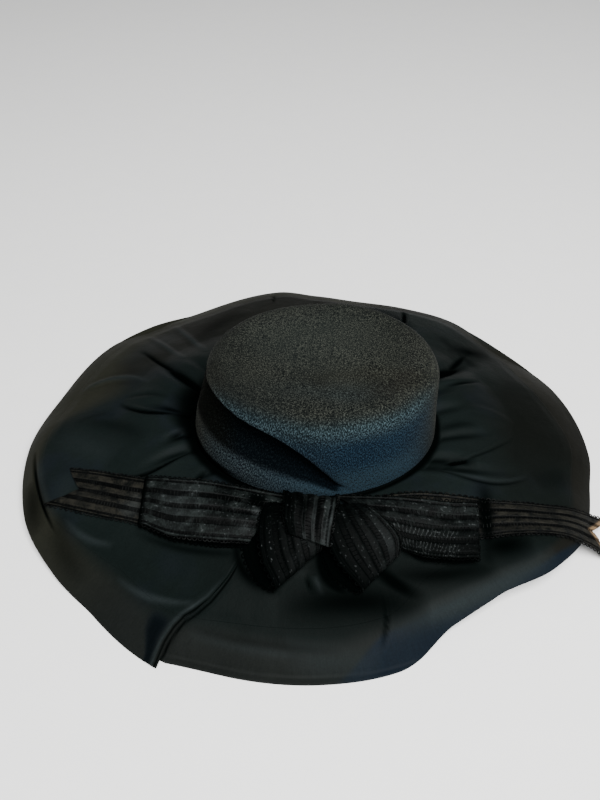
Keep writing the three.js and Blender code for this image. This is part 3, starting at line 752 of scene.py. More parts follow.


# Round the edge at each angle: the band's seen width and the blur of its inner line, the width of
# the painted cool light on the front roll, and the width of the painted shade beside the crown.
BAND = table("at wide blur cold shade", [
    (0, 18, 3, 0, 4), (12, 25, 3, 0, 4), (24, 27, 3, 0, 4), (34, 16, 3, 0, 5), (42, 12, 3, 0, 5),
    (66, 13, 4, 0, 5), (90, 14, 6, 0, 4), (120, 16, 10, 0, 5), (150, 34, 20, 0, 16),
    (163, 52, 26, 0, 24), (175, 20, 12, 0, 20), (185, 14, 7, 0, 10), (205, 22, 10, 0, 7),
    (230, 24, 12, 0, 5), (245, 24, 10, 0, 3), (270, 21, 8, 0, 3), (285, 24, 9, 24, 3),
    (300, 16, 4, 11, 3), (312, 12, 4, 7, 3), (325, 12, 4, 7, 4), (340, 14, 4, 0, 5),
    (350, 17, 3, 0, 5),
])
# Painted highlights: charted lines where the silk catches the light, on ridges, crests and the
# front roll.
PALE = table("x1 y1 x2 y2 x3 y3 light half", [
    (50, -185, 106, -166, 186, -124, 0.95, 4.4), (-194, -93, -177, -109, -151, -119, 0.85, 1.5),
    (-146, -142, -118, -161, -84, -169, 0.85, 1.5), (-229, -32, -221, -56, -208, -84, 0.7, 2),
    (-138, 163, -117, 127, -96, 89, 0.8, 1.6), (-161, 144, -138, 112, -116, 79, 0.7, 1.6),
    (-212, 56, -181, 68, -144, 52, 0.7, 2.4), (100, -56, 129, -67, 176, -55, 0.35, 1.5),
    (2, -150, 4, -156, 7, -164, 0.6, 1.5), (-20, -196, 20, -206, 50, -200, 0.4, 7),
    (-216, -4, -190, -24, -160, -42, 0.45, 9), (-200, -50, -196, -70, -190, -90, 0.3, 8),
    (-180, 90, -160, 110, -130, 150, 0.3, 10), (-90, -184, -40, -197, 22, -202, 0.35, 2),
    (190, 134, 150, 176, 98, 197, 0.6, 4),
])
SHADE = table("x1 y1 x2 y2 x3 y3 dark half", [
    (-94, -33, -136, -64, -184, -54, 1.3, 1.5), (-168, 26, -142, 6, -106, 6, 1.2, 1.7),
    (-164, 112, -134, 76, -110, 48, 1.2, 1.7), (-236, -18, -222, -63, -197, -107, 1.2, 1.1),
    (50, -148, 98, -147, 140, -140, 0.85, 5), (-26, -172, 26, -168, 86, -168, 0.95, 9),
    (40, -138, 60, -154, 82, -164, 1.1, 5), (15, -117, 17, -131, 19, -142, 0.9, 4),
    (-90, -180, -40, -193, 22, -198, 0.35, 2), (-230, -50, -224, -76, -217, -100, 0.65, 7),
    (132, 108, 155, 113, 178, 113, 0.85, 8), (-112, 118, -87, 152, -62, 172, 0.5, 9),
    (62, 178, 87, 159, 102, 130, 0.55, 7), (182, -62, 202, -52, 214, -44, 0.4, 8),
    (-136, -110, -100, -127, -42, -136, 0.7, 2.2), (136, -68, 135, -105, 130, -144, 1, 5),
    (122, -126, 144, -124, 168, -118, 1, 7.5), (-200, -84, -193, -112, -172, -142, 0.5, 7),
    (-198, 8, -171, -2, -137, -27, 0.4, 5), (-206, 4, -190, 12, -168, 12, 0.3, 4),
    (99, 184, 97, 161, 94, 136, 1.1, 2), (100, -53, 116, -51, 134, -53, 0.8, 3),
    (128, 130, 145, 105, 160, 80, 0.6, 4), (-97, -80, -90, -70, -82, -58, 1, 1.5),
    (-36, 206, -36, 195, -36, 181, 0.8, 1), (50, -156, 52, -172, 50, -196, 0.7, 1.3),
    (102, -22, 116, -14, 140, -10, 0.5, 3),
    (-55, -112, -52, -144, -20, -163, 1, 3.4), (8, -116, 9, -148, 38, -168, 1.2, 4.5),
    (6, -134, 2, -146, 12, -154, 0.5, 5),
])
FOLD_SHADE = {"from": 196.0, "to": 206.0, "off": -11.0, "half": 8.0, "dark": 0.7,
              "end": 228.0, "end_off": -5.5, "end_half": 3.0}
FOLD_SHADOW_LINE = {"off": 1.7, "half": 1.0, "from": 134.0, "to": 146.0}
FOLD_EDGE_HIGHLIGHT = {"off": -1.6, "half": 1.2, "from": 150.0, "to": 190.0}
COOL_LIGHT_RANGE = {"blur": 2.0, "least": 6.0}


def marks_of(grid):
    """The marks of the silk at each point. crease: painted shade, 1 at the bottom of a full
    crease, beside the crown, under the fold and along the charted shades. rim: 0 on the brim to
    1 on the band. cold: painted cool light on the blue outer side of the front roll, and under
    the fold. pale: a painted highlight where the silk shines."""
    x = grid[..., 0]
    y = grid[..., 1]
    angle = np.degrees(np.arctan2(y - MIDDLE_Y, x - MIDDLE_X))
    reach = np.hypot(x - MIDDLE_X, y - MIDDLE_Y)
    root = crown_root(angle, 1)
    edge = around(EDGE, "reach", angle)
    # Painted shade in gathers and fine creases, beside the crown, and under and along the fold.
    gather = np.clip(gather_drop(angle, reach, root) / CREASE_SHADE_FULL["gather"], 0, 1)
    gather = gather ** CREASE_SHADE_SHARP["gather"]
    fine = np.clip(crease_drop(x, y) / CREASE_SHADE_FULL["fine"], 0, 1) ** CREASE_SHADE_SHARP["fine"]
    beside = np.exp(-((reach - root) / around(BAND, "shade", angle)) ** 4)
    off = fold_offset(angle, reach)
    narrow = ease(reach, FOLD_SHADE["to"], FOLD_SHADE["end"])
    fold_shadow = off - mix(FOLD_SHADE["off"], FOLD_SHADE["end_off"], narrow)
    fold_shadow = np.exp(-(fold_shadow / mix(FOLD_SHADE["half"], FOLD_SHADE["end_half"], narrow)) ** 4)
    fold_shadow = FOLD_SHADE["dark"] * fold_shadow * ease(reach, FOLD_SHADE["from"], FOLD_SHADE["to"])
    fold_shadow_line = np.exp(-((off - FOLD_SHADOW_LINE["off"]) / FOLD_SHADOW_LINE["half"]) ** 2)
    fold_shadow_line = fold_shadow_line * ease(reach, FOLD_SHADOW_LINE["from"], FOLD_SHADOW_LINE["to"])
    # Painted highlight along the edge of the lapped flap.
    edge_highlight = np.exp(-((off - FOLD_EDGE_HIGHLIGHT["off"]) / FOLD_EDGE_HIGHLIGHT["half"]) ** 2)
    edge_highlight = edge_highlight * ease(reach, FOLD_EDGE_HIGHLIGHT["from"], FOLD_EDGE_HIGHLIGHT["to"])
    line = edge - around(BAND, "wide", angle)
    blur = around(BAND, "blur", angle)
    # Painted cool light on the outer side of the front roll.
    cold = around(BAND, "cold", angle)
    start = edge - cold
    blue = ease(reach, start - COOL_LIGHT_RANGE["blur"], start + COOL_LIGHT_RANGE["blur"])
    blue = blue * ease(cold, 0, COOL_LIGHT_RANGE["least"])
    dark = strongest(SHADE, x, y)
    return {
        "crease": np.clip(np.max([gather, fine, beside, fold_shadow, fold_shadow_line, dark], axis=0), 0, 1),
        "rim": ease(reach, line - blur, line + blur / 2),
        "cold": np.maximum(blue, fold_shadow),
        "pale": np.maximum(strongest(PALE, x, y), edge_highlight),
    }


def both_sides(top, under):
    """The marks of a piece's upper points and then of its underside's, where the painted shade,
    painted highlights and painted cool light are fainter."""
    above = marks_of(top)
    below = marks_of(under)
    for name in ("crease", "pale", "cold"):
        below[name] = below[name] * UNDER_FAINT
    return {k: np.concatenate([above[k].ravel(), below[k].ravel()]) for k in above}


def fewer_rings(under, every):
    """Every few rings of the underside, each as low as the lowest of the rings beside it, so
    that no crease of the upper side breaks through."""
    last = under.shape[1] - 1
    kept = np.unique(np.append(np.arange(0, last, every), last))
    near = np.clip(kept[:, None] + np.arange(-every, every + 1)[None, :], 0, last)
    fewer = under[:, kept].copy()
    fewer[..., 2] = under[:, near, 2].min(-1)
    return fewer, kept


brim_grid = brim_cloth()
hem_share = np.linspace(0, 1, brim_grid.shape[1])[None, :, None]
brim_thick = mix(SILK, THIN, ease(hem_share, THIN_FROM, 1))
brim_under = brim_grid - brim_thick * normals_of(brim_grid, True)
brim_under, kept_rings = fewer_rings(brim_under, UNDER_EVERY)
brim_under[:, -1] = brim_grid[:, -1] - THIN * np.array([0, 0, 1])
brim_uv = cloth_uv(brim_grid, True)
brim = new_piece("brim_cloth", *ringed(brim_grid, brim_under, brim_uv, brim_uv[:, kept_rings]),
                 brim_silk, "brim_cloth", "brim", marks=both_sides(brim_grid, brim_under))
print("brim area m2:", round(area_of(brim_grid, True), 4))

# %% Hem band
HEM_RINGS = 22
TUCK_RINGS = 3
EDGE_ROLL = 0.8
ROLL_STEPS = 5
FINE_END = 8.0


def hem_band():
    """Upper and under grid of the band: flat across, with a half round at its outer edge."""
    drop = CLOTH + GAP
    across = np.linspace(-HEM_TUCK, 0, TUCK_RINGS)
    share = np.linspace(0, 1, HEM_RINGS)[1:]
    flat = mix(edge_reach - hem_width, edge_reach - EDGE_ROLL, share[None, :])
    reach = np.concatenate([edge_reach - hem_width + across[None, :], flat], 1)
    column = np.broadcast_to(columns[:, None], reach.shape)
    fine = 1 - ease(reach, edge_reach - FINE_END, edge_reach)
    top = brim_surface(column, reach, drop, fine)
    under = top.copy()
    under[..., 2] -= CLOTH
    roll = np.linspace(0, np.pi / 2, ROLL_STEPS)[1:]
    last = np.broadcast_to(edge_reach, (len(columns), len(roll)))
    rolled = last - EDGE_ROLL * (1 - np.sin(roll))
    column = np.broadcast_to(columns[:, None], rolled.shape)
    upper = brim_surface(column, rolled, drop, 0.0)
    lower = upper.copy()
    upper[..., 2] -= EDGE_ROLL * (1 - np.cos(roll))
    lower[..., 2] -= CLOTH - EDGE_ROLL * (1 - np.cos(roll))
    return np.concatenate([top, upper], 1), np.concatenate([under, lower], 1)


hem_grid, hem_under = hem_band()
hem_under[..., 2] = np.maximum(hem_under[..., 2], 0)
hem = new_piece("hem_band", *two_sided(hem_grid, hem_under, cloth_uv(hem_grid, True), True),
                hem_silk, "hem_cloth", "brim_hem", marks=both_sides(hem_grid, hem_under))
print("hem area m2:", round(area_of(hem_grid, True), 4))

# %% [markdown]
# ## The crown
# The crown is a soft open weave over nothing but air, so its front left side has been pushed
# in and a lip of the tip hangs over the hollow. Each upright section is a line through a few
# points: the wall with its dent, the lip, the rounded shoulder and the flat tip. The line is
# walked in even steps and its corners are softened by averaging neighbours, as thick cloth
# softens a bend. Turning the section round the oval makes the whole crown.

# %% Sections of the crown
SHOULDER_RADIUS = 14.0
TIP_SAG = 3.0
TIP_HOLLOW = {"x": 40.0, "y": -34.0, "a": 42.0, "b": 20.0, "deep": 3.5, "rim": 6}
CROWN_WALL = 2.0
DENT = table("at ridge deep", [
    (0, 80, 0), (90, 100, 0), (176, 108, 0), (190, 109, 7), (205, 110, 14), (228, 107.5, 19),
    (240, 104, 20), (250, 99.5, 19), (258, 93, 17), (266, 83, 13), (273, 70, 8), (279, 58, 3),
    (286, 52, 0),
])
DENT_LIP = {"high": 2.5, "full": 10.0}
DENT_SECTION = table("share inset", [
    (0, 0), (0.24, -0.06), (0.46, 0.04), (0.66, 0.7), (0.86, 1), (0.97, 0.94),
])
WALL_TOP = CROWN_TOP["high"] - SHOULDER_RADIUS
CROWN_COLUMNS = 320
CROWN_STEPS = 118
SOFTENINGS = 3
LIP_SHARE = 0.22
TIP_LAST = 0.02
LUMPS = {"high": 0.8, "size": 30.0, "seed": 7, "from": 50, "to": 62}


def crown_oval(high):
    """Centre and half axes of the crown at a height: straight walls, then the shoulder's
    quarter round."""
    share = np.clip((high - CROWN_BASE["high"]) / (WALL_TOP - CROWN_BASE["high"]), 0, 1)
    up = np.clip((high - WALL_TOP) / SHOULDER_RADIUS, 0, 1)
    inset = SHOULDER_RADIUS * (1 - np.sqrt(1 - up * up))
    x = mix(CROWN_BASE["x"], CROWN_TOP["x"], share)
    y = mix(CROWN_BASE["y"], CROWN_TOP["y"], share)
    a = mix(CROWN_BASE["a"], CROWN_TOP["a"], share) - inset
    b = mix(CROWN_BASE["b"], CROWN_TOP["b"], share) - inset
    return x, y, a, b


def crown_point(angle, high, inset):
    """A point on the oval at a height, moved inward."""
    x, y, a, b = crown_oval(high)
    rad = np.radians(angle)
    return np.stack([x + (a - inset) * np.cos(rad), y + (b - inset) * np.sin(rad), high], -1)


def crown_tip(angle, share):
    """The tip at a share of its radius: slack in the middle, with a shallow hollow."""
    x0, y0, a, b = crown_oval(np.array(CROWN_TOP["high"]))
    rad = np.radians(angle)
    x = x0 + a * share * np.cos(rad)
    y = y0 + b * share * np.sin(rad)
    dx = (x - TIP_HOLLOW["x"]) / TIP_HOLLOW["a"]
    dy = (y - TIP_HOLLOW["y"]) / TIP_HOLLOW["b"]
    hollow = TIP_HOLLOW["deep"] * np.exp(-dx * dx - dy * dy) * (1 - share ** TIP_HOLLOW["rim"])
    return np.stack([x, y, CROWN_TOP["high"] - TIP_SAG * (1 - share ** 2) ** 2 - hollow], -1)


def shoulder_path(high):
    """Way up the section to a height, along the wall and round the shoulder."""
    up = np.clip((high - WALL_TOP) / SHOULDER_RADIUS, 0, 1)
    return np.minimum(high, WALL_TOP) + SHOULDER_RADIUS * np.arcsin(up)


def shoulder_high(path):
    """The height at a way up the section."""
    around_it = np.clip((path - WALL_TOP) / SHOULDER_RADIUS, 0, np.pi / 2)
    return np.minimum(path, WALL_TOP) + SHOULDER_RADIUS * np.sin(around_it)


UPPER_STEPS = 26
TIP_STEPS = 22


def crown_lines(angle):
    """The corner points of every section, from the base to the middle of the tip."""
    ridge = around(DENT, "ridge", angle)
    deep = around(DENT, "deep", angle)
    points = []
    for share, inset in zip(DENT_SECTION["share"], DENT_SECTION["inset"]):
        points.append(crown_point(angle, mix(CROWN_BASE["high"], ridge, share), deep * inset))
    lip = DENT_LIP["high"] * np.clip(deep / DENT_LIP["full"], 0, 1)
    points.append(crown_point(angle, ridge, -lip))
    start = shoulder_path(ridge)
    end = shoulder_path(CROWN_TOP["high"])
    for share in np.linspace(0, 1, UPPER_STEPS)[1:]:
        high = shoulder_high(mix(start, end, share))
        points.append(crown_point(angle, high, -lip * (1 - ease(share, 0, LIP_SHARE))))
    for share in np.linspace(1, TIP_LAST, TIP_STEPS)[1:]:
        points.append(crown_tip(angle, share))
    return np.stack(points, 1)


def even_steps(lines, steps):
    """Every line walked again in even steps of its own length."""
    way = np.linalg.norm(np.diff(lines, axis=1), axis=-1)
    way = np.concatenate([np.zeros((len(lines), 1)), np.cumsum(way, 1)], 1)
    at = np.linspace(0, 1, steps)[None, :] * way[:, -1:]
    place = (way[:, None, :] <= at[:, :, None]).sum(-1) - 1
    place = np.clip(place, 0, lines.shape[1] - 2)
    rows = np.arange(len(lines))[:, None]
    low = way[rows, place]
    share = ((at - low) / np.maximum(way[rows, place + 1] - low, TINY))[..., None]
    return mix(lines[rows, place], lines[rows, place + 1], share)


def softened(lines, times):
    """Corners rounded by averaging each point with its two neighbours, (1, 2, 1) / 4."""
    for _ in range(times):
        middle = (lines[:, :-2] + 2 * lines[:, 1:-1] + lines[:, 2:]) / 4
        lines = np.concatenate([lines[:, :1], middle, lines[:, -1:]], 1)
    return lines


crown_angle = np.arange(CROWN_COLUMNS) * 360 / CROWN_COLUMNS
crown_grid = softened(even_steps(crown_lines(crown_angle), CROWN_STEPS), SOFTENINGS)
crown_out = -normals_of(crown_grid, True)
lump_share = ease(crown_grid[..., 2], LUMPS["from"], LUMPS["to"])
lumps = LUMPS["high"] * soft_noise(crown_grid[..., 0], crown_grid[..., 1] + crown_grid[..., 2],
                                   LUMPS["size"], LUMPS["seed"])
crown_grid = crown_grid + crown_out * (lumps * lump_share)[..., None]
print("crown grid:", crown_grid.shape)

# %% Crown mesh
def domed(top, under, uv):
    """A two-sided ring whose last row closes on a middle point on both sides."""
    rows, across = top.shape[:2]
    points, faces, corner = two_sided(top, under, uv, True)
    side = across * rows
    keep = ~((faces % across == across - 1).all(1))
    faces = faces[keep]
    corner = corner[keep]
    top_middle = top[:, -1].mean(0)
    under_middle = under[:, -1].mean(0)
    points = np.concatenate([points, [top_middle, under_middle]])
    i = np.arange(rows)
    j = (i + 1) % rows
    last = across - 1
    upper = np.stack([i * across + last, j * across + last, np.full(rows, 2 * side)], -1)
    lower = np.stack([side + j * across + last, side + i * across + last,
                      np.full(rows, 2 * side + 1)], -1)
    fan = np.concatenate([upper, lower])
    first, second, third = points[fan[0]]
    normal = np.cross(second - first, third - first)
    if normal[2] < 0:
        fan = fan[:, ::-1]
    fan_uv = np.concatenate([uv[i, last], uv[i, last]])[:, None].repeat(3, 1)
    return points, [faces, fan], [corner, fan_uv]


crown_under = crown_grid - CROWN_WALL * crown_out
crown_under[:, 0, 2] = crown_grid[:, 0, 2]
print("crown wall ready")

# %% [markdown]
# ## The weave of the crown
# The crown is a coarser cloth of grey-black yarn, heathered: short paler flecks stand on a
# dark ground. On the wall they run upright, with the yarn; on the tip they lie at a slant.
# It is matt. The front wall is painted colder and bluer as cool light from the front; the
# shoulder and the middle of the tip carry painted highlights, the pocket of the dent and the
# left foot painted shade; and there is a brown patch on the tip, over its shallow hollow.

# %% Crown finish
CROWN_GROUND = (0.0050, 0.0060, 0.0052)
TIP_HIGHLIGHT_COLOUR = (0.0100, 0.0125, 0.0112)
SHOULDER_COOL_HIGHLIGHT = (0.0052, 0.0098, 0.0112)
WALL_COOL_LIGHT = (0.0014, 0.0056, 0.0122)
CROWN_BROWN = (0.0066, 0.0062, 0.0042)
CROWN_FLECK = (0.0470, 0.0500, 0.0400)
FLECK_COOL_HIGHLIGHT = (0.0490, 0.0770, 0.0860)
FLECK_COOL_LIGHT = (0.0120, 0.0290, 0.0450)
PAINTED_LIGHT_LOW_WALL = (0.0125, 0.0235, 0.0310)
POCKET_SHADE_BLUE = (0.0003, 0.0012, 0.0026)
POCKET_SHADE_OLIVE = (0.0010, 0.0010, 0.0004)
CROWN_DARK = (0.0012, 0.0018, 0.0022)
# Where the painted shade of the pocket lies on the wall.
POCKET = {"from": 0.29, "to": 0.47, "rim": 0.97, "past_rim": 1.01, "shallow": 0.5, "deep": 4.0,
          "left": 184.0, "left_from": 34, "left_to": 8, "left_dark": 0.85, "above": 15.0,
          "tint": 0.4}
# Where the painted shade lies at the crown's left foot.
FOOT = {"at": 198.0, "half": 48.0, "side_blur": 25, "high": 54.0, "high_blur": 4}
TIP_HIGHLIGHT_SPOT = {"y": 0.02, "flat": 2.0, "clouds": 0.002}
BROWN_PATCH = {"x": 0.045, "y": -0.03, "a": 0.05, "b": 0.02, "strong": 0.75}
FLECK_NOISE = (1.0, 2.0, 0.65)
WALL_YARN = (1700.0, 560.0, 1.0)
TIP_YARN = ((1700.0, 700.0, 300.0), (0.0, 0.0, 0.6))
TIP_CROSS_YARN = ((700.0, 1700.0, 300.0), (0.0, 0.0, 0.5))
CROWN_CLOUDS = (24.0, 3.0)
CROWN_STEP = {
    "tip": (0.109, 0.117), "light": (0.52, 0.68), "dark": (0.52, 0.38),
    "front": (-0.02, -0.07), "front_high": (0.113, 0.092), "front_right": (-0.05, 0.03, 0.4, 1.0),
    "middle": (0.006, 0.0005), "cool": (-0.022, -0.06), "cool_high": (0.119, 0.110),
    "cool_low": (0.085, 0.1, 0.35, 1.0), "right": (-0.06, 0.0), "low": (0.08, 0.058),
    "low_front": (-0.04, -0.07), "patch": (1.7, 0.5), "left": (-0.03, -0.09, 0.0, 0.5),
    "inside": (-0.072, -0.052), "pocket": (0.3, 1.0, 0.0, 0.6),
}
FLECK_BUMP = (0.0004, 0.7)
CROWN_ROUGH = 0.9
CROWN_MATT = {"Sheen Weight": 0.006, "Sheen Roughness": 0.6, "Specular IOR Level": 0.03}


def heathered(name):
    """Short flecks from stretched noise: on the cloth's own coordinates for the wall and on
    Object coordinates, at two slants, for the tip."""
    f = Finish(name)
    place = f.place()
    cloth = f.place("UV")
    high = f.axis(place, "Z")
    x = f.axis(place, "X")
    y = f.axis(place, "Y")
    step = CROWN_STEP
    tip = f.step(high, *step["tip"])
    wall = f.noise(f.scaled(cloth, WALL_YARN), *FLECK_NOISE)
    slant = f.noise(f.scaled(place, *TIP_YARN), *FLECK_NOISE)
    top = slant.larger(f.noise(f.scaled(place, *TIP_CROSS_YARN), *FLECK_NOISE))
    fleck = f.add("ShaderNodeMix", {"data_type": "FLOAT"}, {0: tip, 2: wall, 3: top - 0.06}, 0)
    clouds = f.noise(place, *CROWN_CLOUDS)
    light = f.step(fleck + clouds * 0.1, *step["light"])
    dark = f.step(fleck, *step["dark"])
    # Painted cool light on the front wall, right of the dent.
    front = f.step(y, *step["front"]) * f.step(high, *step["front_high"])
    front = front * f.step(x, *step["front_right"])
    # Painted highlight: the middle of the tip is paler.
    back = y - TIP_HIGHLIGHT_SPOT["y"]
    away = x * x + back * back * TIP_HIGHLIGHT_SPOT["flat"] + clouds * TIP_HIGHLIGHT_SPOT["clouds"]
    ground = f.blend(f.step(away, *step["middle"]) * tip, CROWN_GROUND, TIP_HIGHLIGHT_COLOUR)
    # Painted highlight in a cool tint on the front shoulder and the upper front wall.
    cool = f.step(y, *step["cool"]) * f.step(high, *step["cool_high"])
    cool = cool * f.step(high, *step["cool_low"])
    ground = f.blend(cool, ground, SHOULDER_COOL_HIGHLIGHT)
    ground = f.blend(front, ground, WALL_COOL_LIGHT)
    # Painted cool light: the lowest part of the front wall is made paler.
    lowest = f.step(high, *step["low"]) * f.step(y, *step["low_front"])
    ground = f.blend(lowest * f.step(x, *step["right"]), ground, PAINTED_LIGHT_LOW_WALL)
    patch_x = (x - BROWN_PATCH["x"]) / BROWN_PATCH["a"]
    patch_y = (y - BROWN_PATCH["y"]) / BROWN_PATCH["b"]
    patch = f.step(patch_x * patch_x + patch_y * patch_y + clouds, *step["patch"]) * tip
    ground = f.blend(patch * BROWN_PATCH["strong"], ground, CROWN_BROWN)
    colour = f.blend(dark * 0.8, ground, CROWN_DARK)
    paler = f.blend(front, f.blend(cool, CROWN_FLECK, FLECK_COOL_HIGHLIGHT), FLECK_COOL_LIGHT)
    colour = f.blend(light * 0.85, colour, paler)
    # Painted shade on the left of the tip: its flecks and paler middle give way to the dark
    # ground.
    colour = f.blend(f.step(x + y * 0.4, *step["left"]) * tip, colour, CROWN_GROUND)
    # Painted shade in the pocket of the dent: blue at the front, olive on the left.
    inside = f.blend(f.step(x, *step["inside"]), POCKET_SHADE_OLIVE, POCKET_SHADE_BLUE)
    colour = f.blend(f.mark("pocket") * (1 - light * 0.25), colour, inside)
    # Painted shade at the left foot and in the pocket: mixed towards near-black.
    shade = f.mark("foot").larger(f.step(f.mark("pocket"), *step["pocket"]))
    return f.finish(colour, CROWN_ROUGH, f.bump(fleck, *FLECK_BUMP), CROWN_MATT, shade)


def pocket_marks():
    """The painted shade of the pocket: from the share of the wall's height where it turns in, up
    to the ridge, wherever the dent is deep. To it comes the painted shade at the crown's left
    foot."""
    ridge = around(DENT, "ridge", crown_angle)[:, None]
    share = (crown_grid[..., 2] - CROWN_BASE["high"]) / (ridge - CROWN_BASE["high"])
    deep = ease(share, POCKET["from"], POCKET["to"])
    deep = deep * (1 - ease(share, POCKET["rim"], POCKET["past_rim"]))
    dented = ease(around(DENT, "deep", crown_angle), POCKET["shallow"], POCKET["deep"])
    off = np.abs(turn(crown_angle - POCKET["left"]))
    beside = POCKET["left_dark"] * ease(off, POCKET["left_from"], POCKET["left_to"])
    deep = deep * np.maximum(dented, beside)[:, None]
    lip = crown_point(crown_angle, ridge[:, 0], 0)[:, None]
    away = np.linalg.norm(crown_grid - lip, axis=-1) / POCKET["above"]
    above = POCKET["tint"] * np.exp(-away * away) * (share > POCKET["rim"]) * dented[:, None]
    deep = np.maximum(deep, above)
    off = np.abs(turn(crown_angle - FOOT["at"]))
    side = ease(off, FOOT["half"], FOOT["half"] - FOOT["side_blur"])
    low = ease(crown_grid[..., 2], FOOT["high"], FOOT["high"] - FOOT["high_blur"])
    foot = side[:, None] * low
    marks = {"pocket": deep.ravel(), "foot": foot.ravel()}
    return {k: np.concatenate([v, v, [0, 0]]) for k, v in marks.items()}


crown_weave = heathered("crown_weave")
new_piece("crown_cloth", *domed(crown_grid, crown_under, cloth_uv(crown_grid, True)),
          crown_weave, "crown_cloth", "crown", marks=pocket_marks())

# %% [markdown]
# ## The ribbon
# The ribbon is 48 mm wide: four wide satin ribs and a narrow one along each edge. The open
# stripes between them are bridged by small bars of thread, and a row of tiny loops, called
# picots, runs along both edges.
# A strip is carried along rows of its two edges. A cubic curve runs through the rows, and
# the ribs are a profile of its thickness. Bars and picots are small tubes placed by the same
# curve at even steps, so they bend with the ribbon.

# %% Rows of the ribbon
ROWS = "fx fy nx ny high"
TAIL_LEFT = table(ROWS, [
    (-105, -75, -104, -119, 1.4), (-130, -70, -132, -106, 1.4), (-165, -58, -170, -94, 1.1),
    (-197, -49, -213, -79, 0.9),
])
LOOP_LEFT = table(ROWS, [
    (-34, -88, -51, -131, 1.2), (-70, -81, -73, -129, 1.4), (-103, -77, -104, -122, 3.4),
    (-124, -73, -126, -111, 3.6), (-130, -72, -132, -109, 5.4), (-124, -73, -126, -111, 7),
    (-103, -77, -104, -122, 8), (-70, -81, -73, -129, 8), (-16, -90, -46, -131, 5),
])
TAIL_RIGHT = table(ROWS, [
    (32, -92, 72, -130, 1.2), (74, -86, 92, -129, 1.6), (124, -88, 124, -121, 1.6),
    (170, -86, 168, -114, 1), (205, -84, 203, -111, 1.5), (226, -83, 222, -113, 2.2),
    (239, -82, 236, -116, 1),
])
LOOP_RIGHT = table(ROWS, [
    (37, -95, 70, -133, 4.2), (74, -100, 82, -139, 4.6), (104, -98, 104, -141, 4.6),
    (122, -96, 118, -140, 4.4), (127, -96, 123, -140, 6.2), (122, -96, 118, -140, 8),
    (104, -98, 104, -141, 9), (70, -96, 82, -139, 9), (18, -89, 62, -131, 5),
])
LOOP_FRONT_LEFT = table(ROWS, [
    (-3, -100, -32, -98, 6), (0, -110, -37, -109, 10.5), (4, -121, -39, -127, 12),
    (6, -131, -36, -146, 11.5), (6, -137, -27, -162, 7.5), (4, -136, -31, -162, 3),
    (-5, -126, -43, -151, 1.3), (-9, -113, -51, -132, 1), (-9, -102, -44, -108, 1),
])
LOOP_FRONT_RIGHT = table(ROWS, [
    (36, -99, 9, -101, 6), (43, -106, 9, -112, 10.5), (56, -119, 10, -129, 12),
    (64, -129, 18, -147, 11.5), (63, -138, 35, -163, 7.5), (59, -137, 29, -162, 3),
    (48, -127, 13, -149, 1), (38, -114, 6, -129, 1), (32, -104, 8, -110, 1),
])
KNOT = table(ROWS, [
    (20, -96, -20, -88, 0.8), (20, -98, -20, -90, 10), (19, -104, -20, -98, 17),
    (17, -115, -20, -111, 19), (14, -129, -20, -122, 17.5), (12, -140, -17, -131, 14.5),
])
RIBBON_WIDTH = 48.0
RIBBON = 1.2
GROOVE = 0.34
RIBS = table("start end", [
    (0.8, 2.2), (4.4, 11.2), (16, 22), (26, 32), (36.8, 43.6), (45.8, 47.2),
])
RIB_EDGE = 0.35
PICOT = {"pitch": 4.1, "radius": 1.45, "thread": 0.5, "lean": 0.25, "sizes": (0.85, 1.15),
         "steps": 7}
BAR = {"pitch": 2.8, "thread": 0.42, "lean": 0.1, "first": 0.3, "past": 0.3, "steps": 4}
STEPS_PER_ROW = 40
PLEAT = {"deep": 1.6, "sway": 0.022}
STRIP_WAVE = {"high": 0.25, "size": 14.0}
STRIP_BLUR = {"hidden": 0.04, "dash": 0.05, "sheer": 0.02}
HIDDEN_SHADE = 0.97


def rib_profile(across):
    """1 on a rib and 0 in an open stripe, with a smooth step at each rib's edges."""
    x = across * RIBBON_WIDTH
    raised = np.zeros_like(x)
    for start, end in zip(RIBS["start"], RIBS["end"]):
        up = ease(x, start - RIB_EDGE, start + RIB_EDGE)
        raised += up * (1 - ease(x, end - RIB_EDGE, end + RIB_EDGE))
    return raised


def through_rows(rows, column, place):
    """A cubic curve through one column of a strip's rows: the Hermite blend whose slopes
    are half the difference of each row's neighbours."""
    value = rows[column]
    last = len(value) - 1
    i = np.clip(np.floor(place).astype(int), 0, last - 1)
    t = place - i
    p0 = value[np.maximum(i - 1, 0)]
    p1 = value[i]
    p2 = value[i + 1]
    p3 = value[np.minimum(i + 2, last)]
    start = (2 * t ** 3 - 3 * t ** 2 + 1) * p1 + (t ** 3 - 2 * t ** 2 + t) * (p2 - p0) / 2
    return start + (3 * t ** 2 - 2 * t ** 3) * p2 + (t ** 3 - t ** 2) * (p3 - p1) / 2


